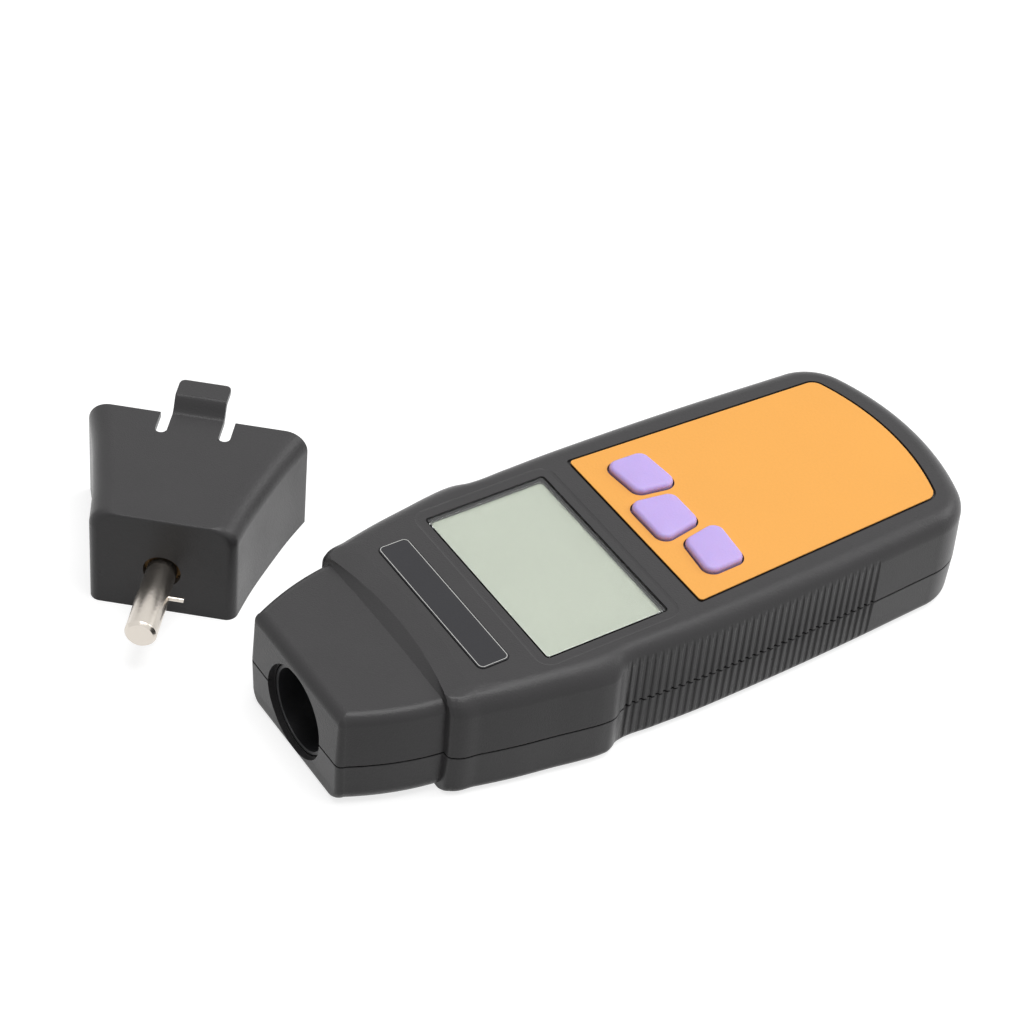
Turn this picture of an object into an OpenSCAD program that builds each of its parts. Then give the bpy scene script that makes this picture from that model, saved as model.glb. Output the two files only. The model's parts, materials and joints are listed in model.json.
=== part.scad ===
// Hand-held laser tachometer with its contact adapter taken off and lying beside it.
// The underside rests on z = 0, the nose points to -Y and the display faces +Z.

/* [Housing] */
// Length of the housing from nose to tail
body_l = 184; // [176:1:200]
// Width at the widest place, beside the display
body_w = 76.6; // [74:0.2:82]
// Height of the main body
body_h = 30.6; // [30:0.2:36]
// Height of the parting line, which is also the height of the sensor axis
part_z = 13; // [12.8:0.1:13.4]
// Thickness of the moulded walls
wall = 2.2; // [1.8:0.1:2.6]
// Rounding of the long upper edges
edge_r = 5.2; // [4:0.2:6]
// Rounding of the long lower edges
base_r = 3; // [2:0.2:4]
// Radius of the tail corners seen from above
tail_corner_r = 15; // [12:1:20]
// Radius of the tail end seen from above
tail_arc_r = 70; // [60:2:120]
// Width of the groove along the parting line
seam_w = 0.7; // [0.3:0.1:1]
// Depth of the groove along the parting line
seam_d = 0.45; // [0.2:0.05:0.8]

/* [Nose] */
// Length of the nose in front of the shoulder
nose_l = 24.3; // [22:0.1:28]
// Drop from the top of the body to the top of the nose
nose_drop = 2; // [1.5:0.1:3]
// Width of the nose at its front
nose_front_w = 37.2; // [34:0.2:40]
// Rounding of the upper edges of the nose
nose_edge_r = 3; // [2:0.2:4]
// Rounding of the lower edges of the nose
nose_base_r = 4.5; // [3:0.5:5]
// Outer diameter of the sensor tube
tube_od = 23.2; // [22:0.1:23.4]
// Inner diameter of the sensor tube, open at the nose
tube_id = 20.8; // [19:0.1:21]
// How far the rim of the tube lies behind the front of the nose
tube_inset = 1.8; // [1:0.1:3]
// Length of the sensor tube
tube_l = 28; // [26:0.5:30]
// Diameter of the mouth in the nose
mouth_d = 24.2; // [24:0.1:24.6]

/* [Grip ribs] */
// Start of the ribbed grip, measured from the nose
rib_from = 70.5; // [70:0.5:76]
// End of the ribbed grip, measured from the nose
rib_to = 147; // [130:0.5:150]
// Distance from one groove to the next
rib_pitch = 2.2; // [2:0.1:4]
// Width of a groove at the surface
rib_groove_w = 1.5; // [0.8:0.1:1.7]
// Depth of a groove
rib_groove_d = 0.6; // [0.3:0.05:0.9]

/* [Display] */
// Width of the window
window_w = 54.8; // [50:0.2:56]
// Length of the window along the housing
window_l = 34.6; // [30:0.2:36]
// Distance of the window from the nose
window_from = 52; // [51:0.5:54]
// Thickness of the window
window_t = 1.2; // [1:0.1:1.4]
// Width of the ledge that carries the window
window_ledge = 0.8; // [0.6:0.1:1.2]
// Width of the sunken frame round the window
sunk_w = 2.9; // [2:0.1:3]
// Depth of the sunken frame
sunk_d = 0.3; // [0.2:0.05:0.4]
// Thickness of the display glass
glass_t = 2.4; // [2:0.1:2.6]
// Length of the name plate across the body
plate_w = 47; // [40:0.5:48]
// Width of the name plate along the body
plate_l = 8.5; // [6:0.5:9]
// Distance of the name plate from the nose
plate_from = 35.9; // [35:0.1:37]
// How far the name plate stands proud
plate_proud = 0.3; // [0.1:0.05:0.5]

/* [Label] */
// Width of the front edge of the keypad label
label_front_w = 58.2; // [54:0.2:59]
// Width of the back edge of the keypad label
label_back_w = 52.2; // [48:0.2:54]
// Distance of the front edge of the label from the nose
label_from = 94.7; // [94:0.1:96]
// Length of the label on the centre line
label_l = 80.8; // [76:0.2:81]
// Thickness of the label
label_t = 0.3; // [0.2:0.05:0.5]
// Depth of the recess that takes the label
label_sink = 0.2; // [0.1:0.05:0.3]

/* [Keys] */
// Distance of the middle key from the nose
key_mid_from = 104.8; // [104:0.1:106]
// Length of the middle key along the body
key_l = 12.6; // [11:0.1:13]
// Width of the front edge of the middle key
key_front_w = 16; // [14:0.1:16.2]
// Width of the back edge of the middle key
key_back_w = 11.8; // [10:0.1:12]
// Corner rounding of the keys
key_r = 2.8; // [2:0.1:3]
// Height of the keys above the body
key_proud = 1.9; // [1.2:0.1:2.4]
// Travel of a key
key_travel = 0.8; // [0.5:0.1:0.9]
// Gap round a key in its opening
key_gap = 0.35; // [0.25:0.05:0.5]

/* [Board] */
// Width of the circuit board
board_w = 55.6; // [52:0.2:56]
// Distance of the circuit board from the nose
board_front = 41.5; // [41:0.1:42]
// Distance of the circuit board from the tail end
board_back = 46; // [45:0.5:48]
// Thickness of the circuit board
board_t = 1.6; // [1.2:0.1:1.6]
// Depth of the top face of the circuit board below the display face
board_drop = 8.4; // [8.2:0.1:8.6]

/* [Batteries] */
// Diameter of a cell
cell_d = 14.5; // [14:0.1:14.5]
// Length of a cell with its nub
cell_l = 50.5; // [49:0.1:50.5]
// Number of cells side by side
cells = 4; // [2:1:4]
// Space for the spring contacts
spring_room = 5.6; // [5:0.1:6]
// Distance from the front of the battery compartment to the tail end
battery_back = 77.4; // [76:0.2:78]
// Thickness of the battery cover
cover_t = 2.2; // [1.8:0.1:2.6]

/* [Adapter] */
// Length of the adapter housing
adapter_l = 40.4; // [38:0.2:44]
// Width of its open end
adapter_wide_w = 56.6; // [55:0.2:60]
// Width of its closed end
adapter_narrow_w = 36.5; // [34:0.5:40]
// Height of the adapter
adapter_h = 29.6; // [29:0.2:31]
// Wall of the adapter
adapter_wall = 1.8; // [1.5:0.1:2.2]
// Rounding of the upper edges of the adapter
adapter_edge_r = 5.8; // [4:0.2:6.4]
// Turn of the adapter away from the nose direction
adapter_turn = 49; // [40:1:60]
// Place of the spindle hole across the body
adapter_x = -57.2; // [-70:0.2:-56]
// Place of the spindle hole along the body
adapter_y = -96.5; // [-110:0.5:-90]
// Width of the snap tab
tab_w = 13.2; // [10:0.2:14]
// Width of the slots beside the tab
tab_slot_w = 3; // [2:0.1:3.4]
// Depth of the slots beside the tab
tab_slot_l = 7.9; // [6:0.1:9]
// Reach of the tab beyond the open end
tab_reach = 9.7; // [8:0.1:11]
// Step from the adapter up to the finger lip
tab_step = 4; // [3:0.1:5]
// Diameter of the spindle's tip
spindle_d = 8; // [7:0.1:8]
// Diameter of the spindle in its bushes
journal_d = 7.6; // [6.6:0.1:7.6]
// Reach of the spindle beyond the closed end
spindle_reach = 23; // [18:0.5:28]
// Diameter of the hole round the spindle
spindle_hole_d = 9.5; // [9:0.1:10]
// Running clearance of the spindle in its bushes, on the diameter
bush_gap = 0.08; // [0.04:0.01:0.16]
// Outer diameter of the bushes
bush_od = 13; // [12:0.1:13.4]
// Diameter of the cross pin
pin_d = 1.2; // [1:0.1:1.6]
// Distance of the cross pin from the closed end
pin_from = 8.7; // [7:0.1:10]
// Reach of the cross pin from the spindle's side
pin_reach = 3.6; // [2:0.1:4.4]

/* [Hidden] */
$fn = 48;

// Overrun of every cut, and the clearances shared by the fitted pieces
cut = 1;
fit = 0.15;
slack = 0.25;
nudge = 0.05;
touch_gap = 0.1;

body_half = body_w / 2;
nose_y = -body_l / 2;
shoulder_y = nose_y + nose_l;
nose_h = body_h - nose_drop;
ceiling_z = body_h - wall;
axis_z = part_z;

// Housing outline from the shoulder to the tail corner, nose to tail.
// Each row holds the place as a share of the length, then the half width of the side
// and the half width under the upper edge, as shares of the greatest half width.
side_shares = [
    [0.1321, 0.772, 0.772], [0.1337, 0.787, 0.787], [0.1391, 0.809, 0.809],
    [0.1717, 0.851, 0.851], [0.2228, 0.906, 0.903], [0.2788, 0.950, 0.945],
    [0.3152, 0.982, 0.969], [0.3451, 1.000, 0.979], [0.3565, 0.998, 0.977],
    [0.3652, 0.980, 0.973], [0.3728, 0.956, 0.968], [0.3815, 0.947, 0.965],
    [0.4348, 0.955, 0.965], [0.4973, 0.966, 0.968], [0.5815, 0.964, 0.964],
    [0.6630, 0.956, 0.956], [0.7391, 0.943, 0.943], [0.8000, 0.929, 0.929],
    [0.8600, 0.913, 0.913]
];
tail_side_share = 0.903;
tail_steps = 6;
end_steps = 5;
nose_steps = 5;
nose_corner_steps = 3;
nose_corner_r = 2;
nose_least_r = 0.3;
nose_lip_r = 1.2;
nose_inner_r = 2.5;
base_inner_r = 1.5;

// Half width of the nose along its length t, as shares of the front half width. It widens
// fast at first and then more slowly.
nose_start_share = 1.084;
nose_widen_share = 0.682;
nose_ease_share = 0.261;
function nose_half(y) = let (t = (y - nose_y) / nose_l)
    nose_front_w / 2 * (nose_start_share + nose_widen_share * t - nose_ease_share * t * t);

function mirrored(points) = [for (i = [len(points) - 1:-1:0]) [-points[i].x, points[i].y]];
function outward(a, b) = let (d = b - a) [d.y, -d.x] / norm(d);
function inset_closed(points, d) = let (n = len(points)) [
    for (i = [0:n - 1]) points[i] - d * outward(points[(i + n - 1) % n], points[(i + 1) % n])
];
function arc(centre, r, from, to, steps) = [
    for (i = [0:steps])
        centre + r * [cos(from + (to - from) * i / steps), sin(from + (to - from) * i / steps)]
];

// Half width of the ribbed side at a place along the body
side_table = [for (s = side_shares) [nose_y + s[0] * body_l, s[1] * body_half]];
function side_half(y) = lookup(y, side_table);

// Tail corner and tail end, as two tangent arcs, at an inset d
tail_half = tail_side_share * body_half;
tail_arc_y = body_l / 2 - tail_arc_r;
tail_corner_x = tail_half - tail_corner_r;
tail_corner_y = tail_arc_y + sqrt(pow(tail_arc_r - tail_corner_r, 2) - pow(tail_corner_x, 2));
tail_turn = atan2(tail_corner_y - tail_arc_y, tail_corner_x);
function tail_points(d) = concat(
    arc([tail_corner_x, tail_corner_y], tail_corner_r - d, 0, tail_turn, tail_steps),
    [for (i = [1:end_steps - 1])
        let (a = tail_turn + (90 - tail_turn) * i / end_steps)
            [0, tail_arc_y] + (tail_arc_r - d) * [cos(a), sin(a)]]
);

// The upper front edge of the body lies further back in the middle than at its ends,
// and a low ramp runs up behind it. Rows: height, setback and bow of the front.
shoulder_bow = 0.3;
scoop_step = 1.6;
scoop_bow = 3.4;
ramp_setback = 0.4;
ramp_back = 7.2;
ramp_bow = 2.6;
ramp_fade = 18;
ramp_z = nose_h + scoop_step;
front_levels = [
    [0, 0, shoulder_bow], [nose_h, 0, shoulder_bow],
    [ramp_z, ramp_setback, scoop_bow], [body_h, ramp_back, ramp_bow]
];
function setback(z) = lookup(z, [for (f = front_levels) [f[0], f[1]]]);
function bow(z) = lookup(z, [for (f = front_levels) [f[0], f[2]]]);

// Right half of the nose's outline at one height, from its front corner to back_y. Its
// sides are inset by d and its front by front_d.
function nose_points(d, front_d, back_y) = let (
    r = max(nose_corner_r - d, nose_least_r),
    y0 = nose_y + front_d + r
) concat(
    arc([nose_half(y0) - d - r, y0], r, -90, 0, nose_corner_steps),
    [for (i = [1:nose_steps]) let (y = y0 + (back_y - y0) * i / nose_steps) [nose_half(y) - d, y]]
);

// Right half of the body's outline at one height, from the shoulder to the end of the tail.
// The sides and the tail are inset by d and the front by front_d, and upper_share blends
// from the side to the narrower outline under the upper edge.
function body_points(z, d, upper_share, front_d) = let (back = setback(z) + front_d) concat(
    [for (s = side_shares)
        let (y = nose_y + s[0] * body_l)
            [body_half * (s[1] + (s[2] - s[1]) * upper_share) - d,
             y + back * max(0, 1 - (y - shoulder_y) / ramp_fade)]],
    tail_points(d)
);

// The whole outline at one height, counterclockwise from above, for given halves
function outline(z, nose, body) = let (
    half = concat(nose, body),
    back_end = tail_arc_y + norm(body[len(body) - 1] - [0, tail_arc_y])
) [for (p = concat(half, [[0, back_end]], mirrored(half))) [p.x, p.y, z]];

// Above the nose, its points lie along the bowed front edge of the body instead
function above_nose(nose, body, z, widest) = [for (p = nose) let (t = p.x / widest)
    [t * body[0].x, body[0].y + bow(z) * (1 - t * t)]];

// Solid skin through a stack of rings with equal numbers of points, from the bottom up
module loft(rings) {
    n = len(rings[0]);
    last = len(rings) - 1;
    polyhedron(
        points = [for (r = rings) each r],
        faces = concat(
            [[for (i = [0:n - 1]) i]],
            [for (k = [0:last - 1], i = [0:n - 1]) let (j = (i + 1) % n)
                each [[(k + 1) * n + i, (k + 1) * n + j, k * n + i],
                      [(k + 1) * n + j, k * n + j, k * n + i]]],
            [[for (i = [n - 1:-1:0]) last * n + i]]
        )
    );
}

// Closed wall between two stacks of rings, both from the parting line outward. Windings are
// those of a wall that opens downward, and are reversed for one that opens upward. The inner
// end face has a slope across it after the given number of points.
module cup(outer, inner, upward, slope_at) {
    n = len(outer[0]);
    start = len(outer) * n;
    ends = [len(outer) * n - n, start + len(inner) * n - n];
    function strips(count, base) = [for (k = [0:count - 2], i = [0:n - 1])
        let (j = (i + 1) % n, low = base + k * n, high = base + (k + 1) * n)
            each [[high + i, high + j, low + i], [high + j, low + j, low + i]]];
    faces = concat(
        strips(len(outer), 0),
        [for (f = strips(len(inner), start)) reversed(f)],
        [for (i = [0:n - 1]) let (j = (i + 1) % n) each [[i, j, start + j], [i, start + j, start + i]]],
        [[for (i = [n - 1:-1:0]) ends[0] + i]],
        [for (f = slope_at > 0 ? [
            [for (i = [0:n - 1]) if (i <= slope_at || i >= n - 1 - slope_at) i],
            [slope_at, slope_at + 1, n - 2 - slope_at, n - 1 - slope_at],
            [for (i = [slope_at + 1:n - 2 - slope_at]) i]
        ] : [[for (i = [0:n - 1]) i]]) [for (i = f) ends[1] + i]]
    );
    polyhedron(
        points = [for (r = concat(outer, inner)) each r],
        faces = upward ? [for (f = faces) reversed(f)] : faces
    );
}
function reversed(list) = [for (i = [len(list) - 1:-1:0]) list[i]];

// Inset of a wall that leans in by its draft and rounds over with radius r up to the limit
draft = 0.35;
function round_inset(z, limit, r) = let (t = max(0, 1 - abs(limit - z) / r)) r * (1 - sqrt(1 - t * t));
function edge_inset(z, limit, r) = draft + round_inset(z, limit, r);
function upper_share(z) = max(0, 1 - (body_h - z) / edge_r);
edge_shares = [1, 0.67, 0.5, 0.42];
upper_edge_shares = [0.2, 0.075, 0.015, 0];
base_shares = [0, 0.04, 0.13, 0.33, 0.67, 1];
hollow_edge_shares = [0.3, 0];
seam_z = seam_w / 2;
nose_top_d = edge_inset(nose_h, nose_h, nose_edge_r);
nose_top = nose_points(nose_top_d, nose_top_d, shoulder_y);

// Skins of the two halves, from the parting line to the flat face
function skin_ring(z, nose_d, lip_d, d, upper_share, front_d) =
    outline(z, nose_points(nose_d, lip_d, shoulder_y + front_d), body_points(z, d, upper_share, front_d));

top_widest = body_points(nose_h, edge_inset(nose_h, body_h, edge_r), 0, 0)[0].x;
top_outer = concat(
    [skin_ring(part_z, seam_d, seam_d, seam_d, 0, 0), skin_ring(part_z + seam_z, 0, 0, 0, 0, 0)],
    [for (s = concat(edge_shares, [nose_drop / edge_r])) let (
        z = body_h - s * edge_r, nose_d = edge_inset(z, nose_h, nose_edge_r)
    ) skin_ring(z, nose_d, nose_d, edge_inset(z, body_h, edge_r), upper_share(z), 0)],
    [for (z = concat([nose_h + nudge], [for (s = upper_edge_shares) body_h - s * edge_r])) let (
        body = body_points(z, edge_inset(z, body_h, edge_r), upper_share(z), 0)
    ) outline(z, above_nose(nose_top, body, z, top_widest), body)]
);

inner_r = 3;
inset = wall + draft;
nose_ceiling = nose_h - wall;
inner_nose = nose_points(inset, inset, shoulder_y + wall);
inner_widest = body_points(nose_ceiling, inset, 0, wall)[0].x;
top_inner = concat(
    [skin_ring(part_z, wall, wall, wall, 0, wall),
     skin_ring(nose_ceiling, inset, inset, wall + edge_inset(nose_ceiling, ceiling_z, inner_r), 0, wall)],
    [for (z = concat([nose_ceiling + nudge], [for (s = hollow_edge_shares) ceiling_z - s * inner_r])) let (
        body = body_points(z, wall + edge_inset(z, ceiling_z, inner_r), upper_share(z + wall), wall)
    ) outline(z, above_nose(inner_nose, body, 0, inner_widest), body)]
);

bottom_outer = concat(
    [skin_ring(part_z, seam_d, seam_d, seam_d, 0, 0), skin_ring(part_z - seam_z, 0, 0, 0, 0, 0)],
    [for (s = reversed(base_shares)) let (z = s * nose_base_r)
        skin_ring(z, edge_inset(z, 0, nose_base_r), edge_inset(z, 0, nose_lip_r),
                  edge_inset(z, 0, base_r), 0, 0)]
);
bottom_inner = [
    skin_ring(part_z, wall, wall, wall, 0, wall),
    skin_ring(wall + base_inner_r, inset, inset, inset, 0, wall)
];
// The floor is thinner under the sensor tube, up to the given point of the outline
tube_floor_z = 1;
tube_floor_points = nose_corner_steps + nose_steps + 4;
function floor_ring(low_points) = let (
    ring = skin_ring(wall, inset + nose_inner_r, inset, inset + base_inner_r, 0, wall),
    n = len(ring)
) [for (i = [0:n - 1])
    [ring[i].x, ring[i].y, i <= low_points || i >= n - 1 - low_points ? tube_floor_z : wall]];
module bottom_skin() { loft(reversed(bottom_outer)); }
module hollow_bottom() { loft(reversed(concat(bottom_inner, [floor_ring(-1)]))); }

// Grip grooves, one upright cutter for each, that run out where the edge rounds inward
rib_y0 = nose_y + rib_from;
rib_count = floor((rib_to - rib_from) / rib_pitch);
rib_floor_share = 0.5;
rib_floor_w = rib_groove_w * rib_floor_share;
rib_flare = (rib_groove_w - rib_floor_w) / 2 * (1 + cut / rib_groove_d);
module grip_grooves(z0, z1) {
    for (i = [0:rib_count], side = [-1, 1]) {
        y = rib_y0 + i * rib_pitch;
        x = side_half(y) - rib_groove_d;
        translate([0, y, z0])
            scale([side, 1, 1])
                linear_extrude(z1 - z0)
                    polygon([[x, -rib_floor_w / 2], [x + rib_groove_d + cut, -rib_floor_w / 2 - rib_flare],
                             [x + rib_groove_d + cut, rib_floor_w / 2 + rib_flare], [x, rib_floor_w / 2]]);
    }
}

// Bore for the sensor tube, along the nose
module along_y(y, z) { translate([0, y, z]) rotate([-90, 0, 0]) children(); }
tube_y = nose_y + tube_inset;
tube_end_y = tube_y + tube_l;
module tube_bore() {
    along_y(nose_y - cut, axis_z) cylinder(d = mouth_d, h = tube_inset + cut);
    along_y(nose_y, axis_z) cylinder(d = tube_od + 2 * fit, h = tube_inset + tube_l + cut);
}

// Plan shapes
corner_fn = 32;
module rounded_rect(w, l, r) {
    hull() for (sx = [-1, 1], sy = [-1, 1])
        translate([sx * (w / 2 - r), sy * (l / 2 - r)]) circle(r, $fn = corner_fn);
}

window_y = nose_y + window_from + window_l / 2;
window_r = 1;
sunk_r = 4;
window_top = body_h - sunk_d;
window_seat = window_top - window_t;
module window_cuts() {
    translate([0, window_y, window_top])
        linear_extrude(cut) rounded_rect(window_w + 2 * sunk_w, window_l + 2 * sunk_w, sunk_r);
    translate([0, window_y, window_seat])
        linear_extrude(window_t + cut)
            rounded_rect(window_w + 2 * fit, window_l + 2 * fit, window_r + fit);
    translate([0, window_y, ceiling_z - cut])
        linear_extrude(wall + cut)
            rounded_rect(window_w - 2 * window_ledge, window_l - 2 * window_ledge, window_r);
}

plate_y = nose_y + plate_from + plate_l / 2;
plate_sink = 0.3;
plate_r = 1.6;

// Keypad label: straight front, sides that draw in, round back corners and a bowed back edge
label_y = nose_y + label_from;
label_arc_r = 68;
label_corner_r = 4;
label_back_y = label_y + label_l;
label_corner_x = label_back_w / 2 - label_corner_r;
label_arc_y = label_back_y - label_arc_r;
label_corner_y = label_arc_y + sqrt(pow(label_arc_r - label_corner_r, 2) - pow(label_corner_x, 2));
label_turn = atan2(label_corner_y - label_arc_y, label_corner_x);
label_steps = 6;
label_half_points = concat(
    [[label_front_w / 2, label_y]],
    arc([label_corner_x, label_corner_y], label_corner_r, 0, label_turn, label_steps),
    [for (i = [1:label_steps - 1]) let (a = label_turn + (90 - label_turn) * i / label_steps)
        [label_arc_r * cos(a), label_arc_y + label_arc_r * sin(a)]]
);
label_points = concat(label_half_points, [[0, label_back_y]], mirrored(label_half_points));

// Keys: outlines as four corners with a common rounding
key_y = nose_y + key_mid_from;
key_side_x = 15.6;
key_side_y = 3.3;
key_side_w = 14.6;
key_side_l = 11.4;
key_side_lean = 2.1;
key_side_turn = -6;
mid_corners = [
    [key_front_w / 2, -key_l / 2], [key_back_w / 2, key_l / 2],
    [-key_back_w / 2, key_l / 2], [-key_front_w / 2, -key_l / 2]
];
side_corners = [
    [key_side_w / 2 + key_side_lean / 4, -key_side_l / 2],
    [key_side_w / 2 - key_side_lean / 2, key_side_l / 2],
    [-key_side_w / 2 - key_side_lean / 2, key_side_l / 2],
    [-key_side_w / 2 + key_side_lean, -key_side_l / 2]
];
function turned(points, a) = [for (p = points) [p.x * cos(a) - p.y * sin(a), p.x * sin(a) + p.y * cos(a)]];
function shifted(points, by) = [for (p = points) p + by];
// A convex outline, counterclockwise, with its corners rounded and grown by a margin
corner_steps = 4;
function rounded(corners, r, grow) = let (n = len(corners)) [
    for (i = [0:n - 1]) let (
        before = corners[(i + n - 1) % n], here = corners[i], after = corners[(i + 1) % n],
        in_n = outward(before, here), out_n = outward(here, after),
        half = acos(in_n * out_n) / 2,
        centre = here - (in_n + out_n) / norm(in_n + out_n) * r / cos(half),
        from = atan2(in_n.y, in_n.x)
    ) each arc(centre, r + grow, from, from + 2 * half, corner_steps)
];
key_mid_outline = shifted(mid_corners, [0, key_y]);
key_right_outline = shifted(turned(side_corners, key_side_turn), [key_side_x, key_y + key_side_y]);
key_left_outline = mirrored(key_right_outline);
key_outlines = [key_left_outline, key_mid_outline, key_right_outline];
function middle(points) = [for (i = [0, 1]) ([for (p = points) p[i]] * [for (p = points) 1]) / len(points)];

key_top_z = body_h + key_proud;
key_flange_w = 0.65;
key_flange_t = 1.2;
key_flange_z = ceiling_z - touch_gap;
key_stem_d = 5.2;
key_crown = 0.9;
// Rounded top of a key: drop below the top and inset, both as shares of the crown
key_crown_shares = [[1, 0], [0.45, 0.25], [0.1, 0.8], [0, 1.9]];
module key(corners) {
    function level(z, grow) = [for (p = rounded(corners, key_r, grow)) [p.x, p.y, z]];
    loft([
        level(key_flange_z - key_flange_t, key_flange_w), level(key_flange_z, key_flange_w),
        level(key_flange_z + nudge, 0),
        each [for (s = key_crown_shares) level(key_top_z - key_crown * s[0], -key_crown * s[1])]
    ]);
    centre = middle(corners);
    translate([centre.x, centre.y, key_stem_z])
        cylinder(d = key_stem_d, h = key_flange_z - key_flange_t - key_stem_z + nudge);
}
module key_openings(z0, z1) {
    for (corners = key_outlines)
        translate([0, 0, z0]) linear_extrude(z1 - z0) polygon(rounded(corners, key_r, key_gap));
}

// Board stack
board_y0 = nose_y + board_front;
board_l = body_l - board_front - board_back;
board_z = body_h - board_drop;
board_post_d = 4.8;
board_post_hole = 1.7;
board_post_hole_l = 5;
board_hole_d = 2.3;
front_post_x = 20;
front_post_y = board_y0 + 3.5;
rear_post_x = 23;
rear_post_y = board_y0 + board_l - 4.5;
board_posts = [[front_post_x, front_post_y], [-front_post_x, front_post_y],
               [rear_post_x, rear_post_y], [-rear_post_x, rear_post_y]];
board_under = board_z - board_t;
frame_border_x = 2.6;
frame_border_y = 3.2;
frame_rim = 1.5;
frame_w = window_w + 2 * frame_border_x;
frame_l = window_l + 2 * frame_border_y;
frame_y = window_y;
glass_w = frame_w - 2 * frame_rim;
glass_l = frame_l - 2 * frame_rim;
glass_top = ceiling_z - touch_gap;
glass_z = glass_top - glass_t;
strip_end = 2;
frame_rib = 1;
strip_w = 2.4;
mat_t = 1;
mat_z = board_z;
contact_t = 0.45;
contact_edge = 0.6;
contact_edge_share = 0.6;
contact_flat_share = 0.4;
mat_w = 50;
mat_l = 22;
mat_back = 2;
mat_y = key_y + mat_back;
contact_hole_d = 7.6;
key_rest_gap = 0.2;
key_stem_z = board_z + contact_t + key_travel + key_rest_gap;

battery_y0 = body_l / 2 - battery_back;

// Shell screws, two beside the name plate and two in front of the battery compartment
front_screw_x = 27.5;
front_screw_y = nose_y + 34.8;
rear_screw_x = 31;
rear_screw_y = battery_y0 - 8.6;
screw_spots = [[front_screw_x, front_screw_y], [-front_screw_x, front_screw_y],
               [rear_screw_x, rear_screw_y], [-rear_screw_x, rear_screw_y]];
screw_gap = 0.3;
head_gap = 0.6;
boss_d = 5.8;
boss_hole_d = 2.3;
screw_d = 2.5;
screw_head_d = 4.8;
screw_head_h = 1.8;
screw_sink = 5;
screw_l = 16;
screw_spare = 3;

// Battery compartment in the bottom shell
cell_side_gap = 0.6;
cell_under_gap = 0.6;
cell_over_gap = 0.4;
plate_contact_t = 0.7;
room_w = cells * cell_d + 2 * cell_side_gap;
room_l = spring_room + cell_l + plate_contact_t;
room_top = cover_t + cell_under_gap + cell_d + cell_over_gap;
box_wall = 1.4;
cell_z = cover_t + cell_under_gap + cell_d / 2;
cell_y0 = battery_y0 + spring_room;
opening_rim = 1.6;
cover_w = room_w - 2 * opening_rim;
cover_y0 = battery_y0 + slack + nudge;
tongue_w = 1;
tongue_z = 1.1;
tail_lip_h = 8;
tail_lip_w = 36;
tail_lip_l = tail_arc_r / 6;
cover_ridges = 5;
cover_ridge_from = 8;
cover_ridge_pitch = 2.4;
cover_ridge_r = 0.6;
cover_ridge_l = 20;

module cover_plan(grow) {
    translate([-cover_w / 2 - grow, cover_y0 - grow])
        square([cover_w + 2 * grow, body_l / 2 - cover_y0 + cut + grow]);
}

module cover_space(grow) {
    translate([0, 0, -cut]) linear_extrude(cover_t + cut + grow) cover_plan(grow);
    translate([-cover_w / 2 - tongue_w - grow, cover_y0 - grow, tongue_z - grow])
        cube([cover_w + 2 * tongue_w + 2 * grow, body_l / 2 - cover_y0 + cut + grow,
              cover_t - tongue_z + 2 * grow]);
    translate([-tail_lip_w / 2 - grow, body_l / 2 - tail_lip_l, -cut])
        cube([tail_lip_w + 2 * grow, tail_lip_l + cut, tail_lip_h + cut + grow]);
}

module top_shell() {
    color("#4c4d50")
    difference() {
        union() {
            cup(top_outer, top_inner, false, 0);
            for (p = screw_spots)
                translate([p.x, p.y, part_z]) cylinder(d = boss_d, h = ceiling_z - part_z + nudge);
            for (p = board_posts)
                translate([p.x, p.y, board_z]) cylinder(d = board_post_d, h = ceiling_z - board_z + nudge);
        }
        for (p = screw_spots)
            translate([p.x, p.y, part_z - cut]) cylinder(d = boss_hole_d, h = screw_l - screw_sink);
        for (p = board_posts)
            translate([p.x, p.y, board_z - cut]) cylinder(d = board_post_hole, h = board_post_hole_l + cut);
        tube_bore();
        window_cuts();
        grip_grooves(part_z - cut, body_h);
        translate([0, plate_y, body_h - plate_sink])
            linear_extrude(plate_sink + cut)
                rounded_rect(plate_w + 2 * fit, plate_l + 2 * fit, plate_r + fit);
        translate([0, 0, body_h - label_sink])
            linear_extrude(label_sink + cut) polygon(inset_closed(label_points, -fit));
        key_openings(ceiling_z - cut, body_h + cut);
    }
}

module bottom_shell() {
    color("#4c4d50")
    difference() {
        union() {
            cup(bottom_outer, concat(bottom_inner, [floor_ring(tube_floor_points)]), true,
                tube_floor_points);
            for (p = screw_spots)
                translate([p.x, p.y, wall - nudge]) cylinder(d = boss_d, h = part_z - wall + nudge);
            for (s = tube_ear_spots)
                translate([s.x, s.y, tube_floor_z - nudge])
                    cylinder(d = tube_boss_d, h = axis_z - tube_ear_t / 2 - tube_floor_z + nudge);
            difference() {
                translate([-room_w / 2 - box_wall, battery_y0 - box_wall, wall - nudge])
                    cube([room_w + 2 * box_wall, room_l + 2 * box_wall, room_top + box_wall - wall + nudge]);
                translate([-room_w / 2, battery_y0, wall - cut])
                    cube([room_w, room_l, room_top - wall + cut]);
            }
        }
        cover_space(slack);
        for (p = screw_spots) {
            translate([p.x, p.y, -cut]) cylinder(d = screw_head_d + head_gap, h = screw_sink + cut);
            translate([p.x, p.y, 0]) cylinder(d = screw_d + screw_gap, h = part_z + cut);
        }
        for (s = tube_ear_spots)
            translate([s.x, s.y, wall + tube_hole_floor]) cylinder(d = board_post_hole, h = axis_z);
        tube_bore();
        grip_grooves(-cut, part_z + cut);
    }
}

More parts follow.
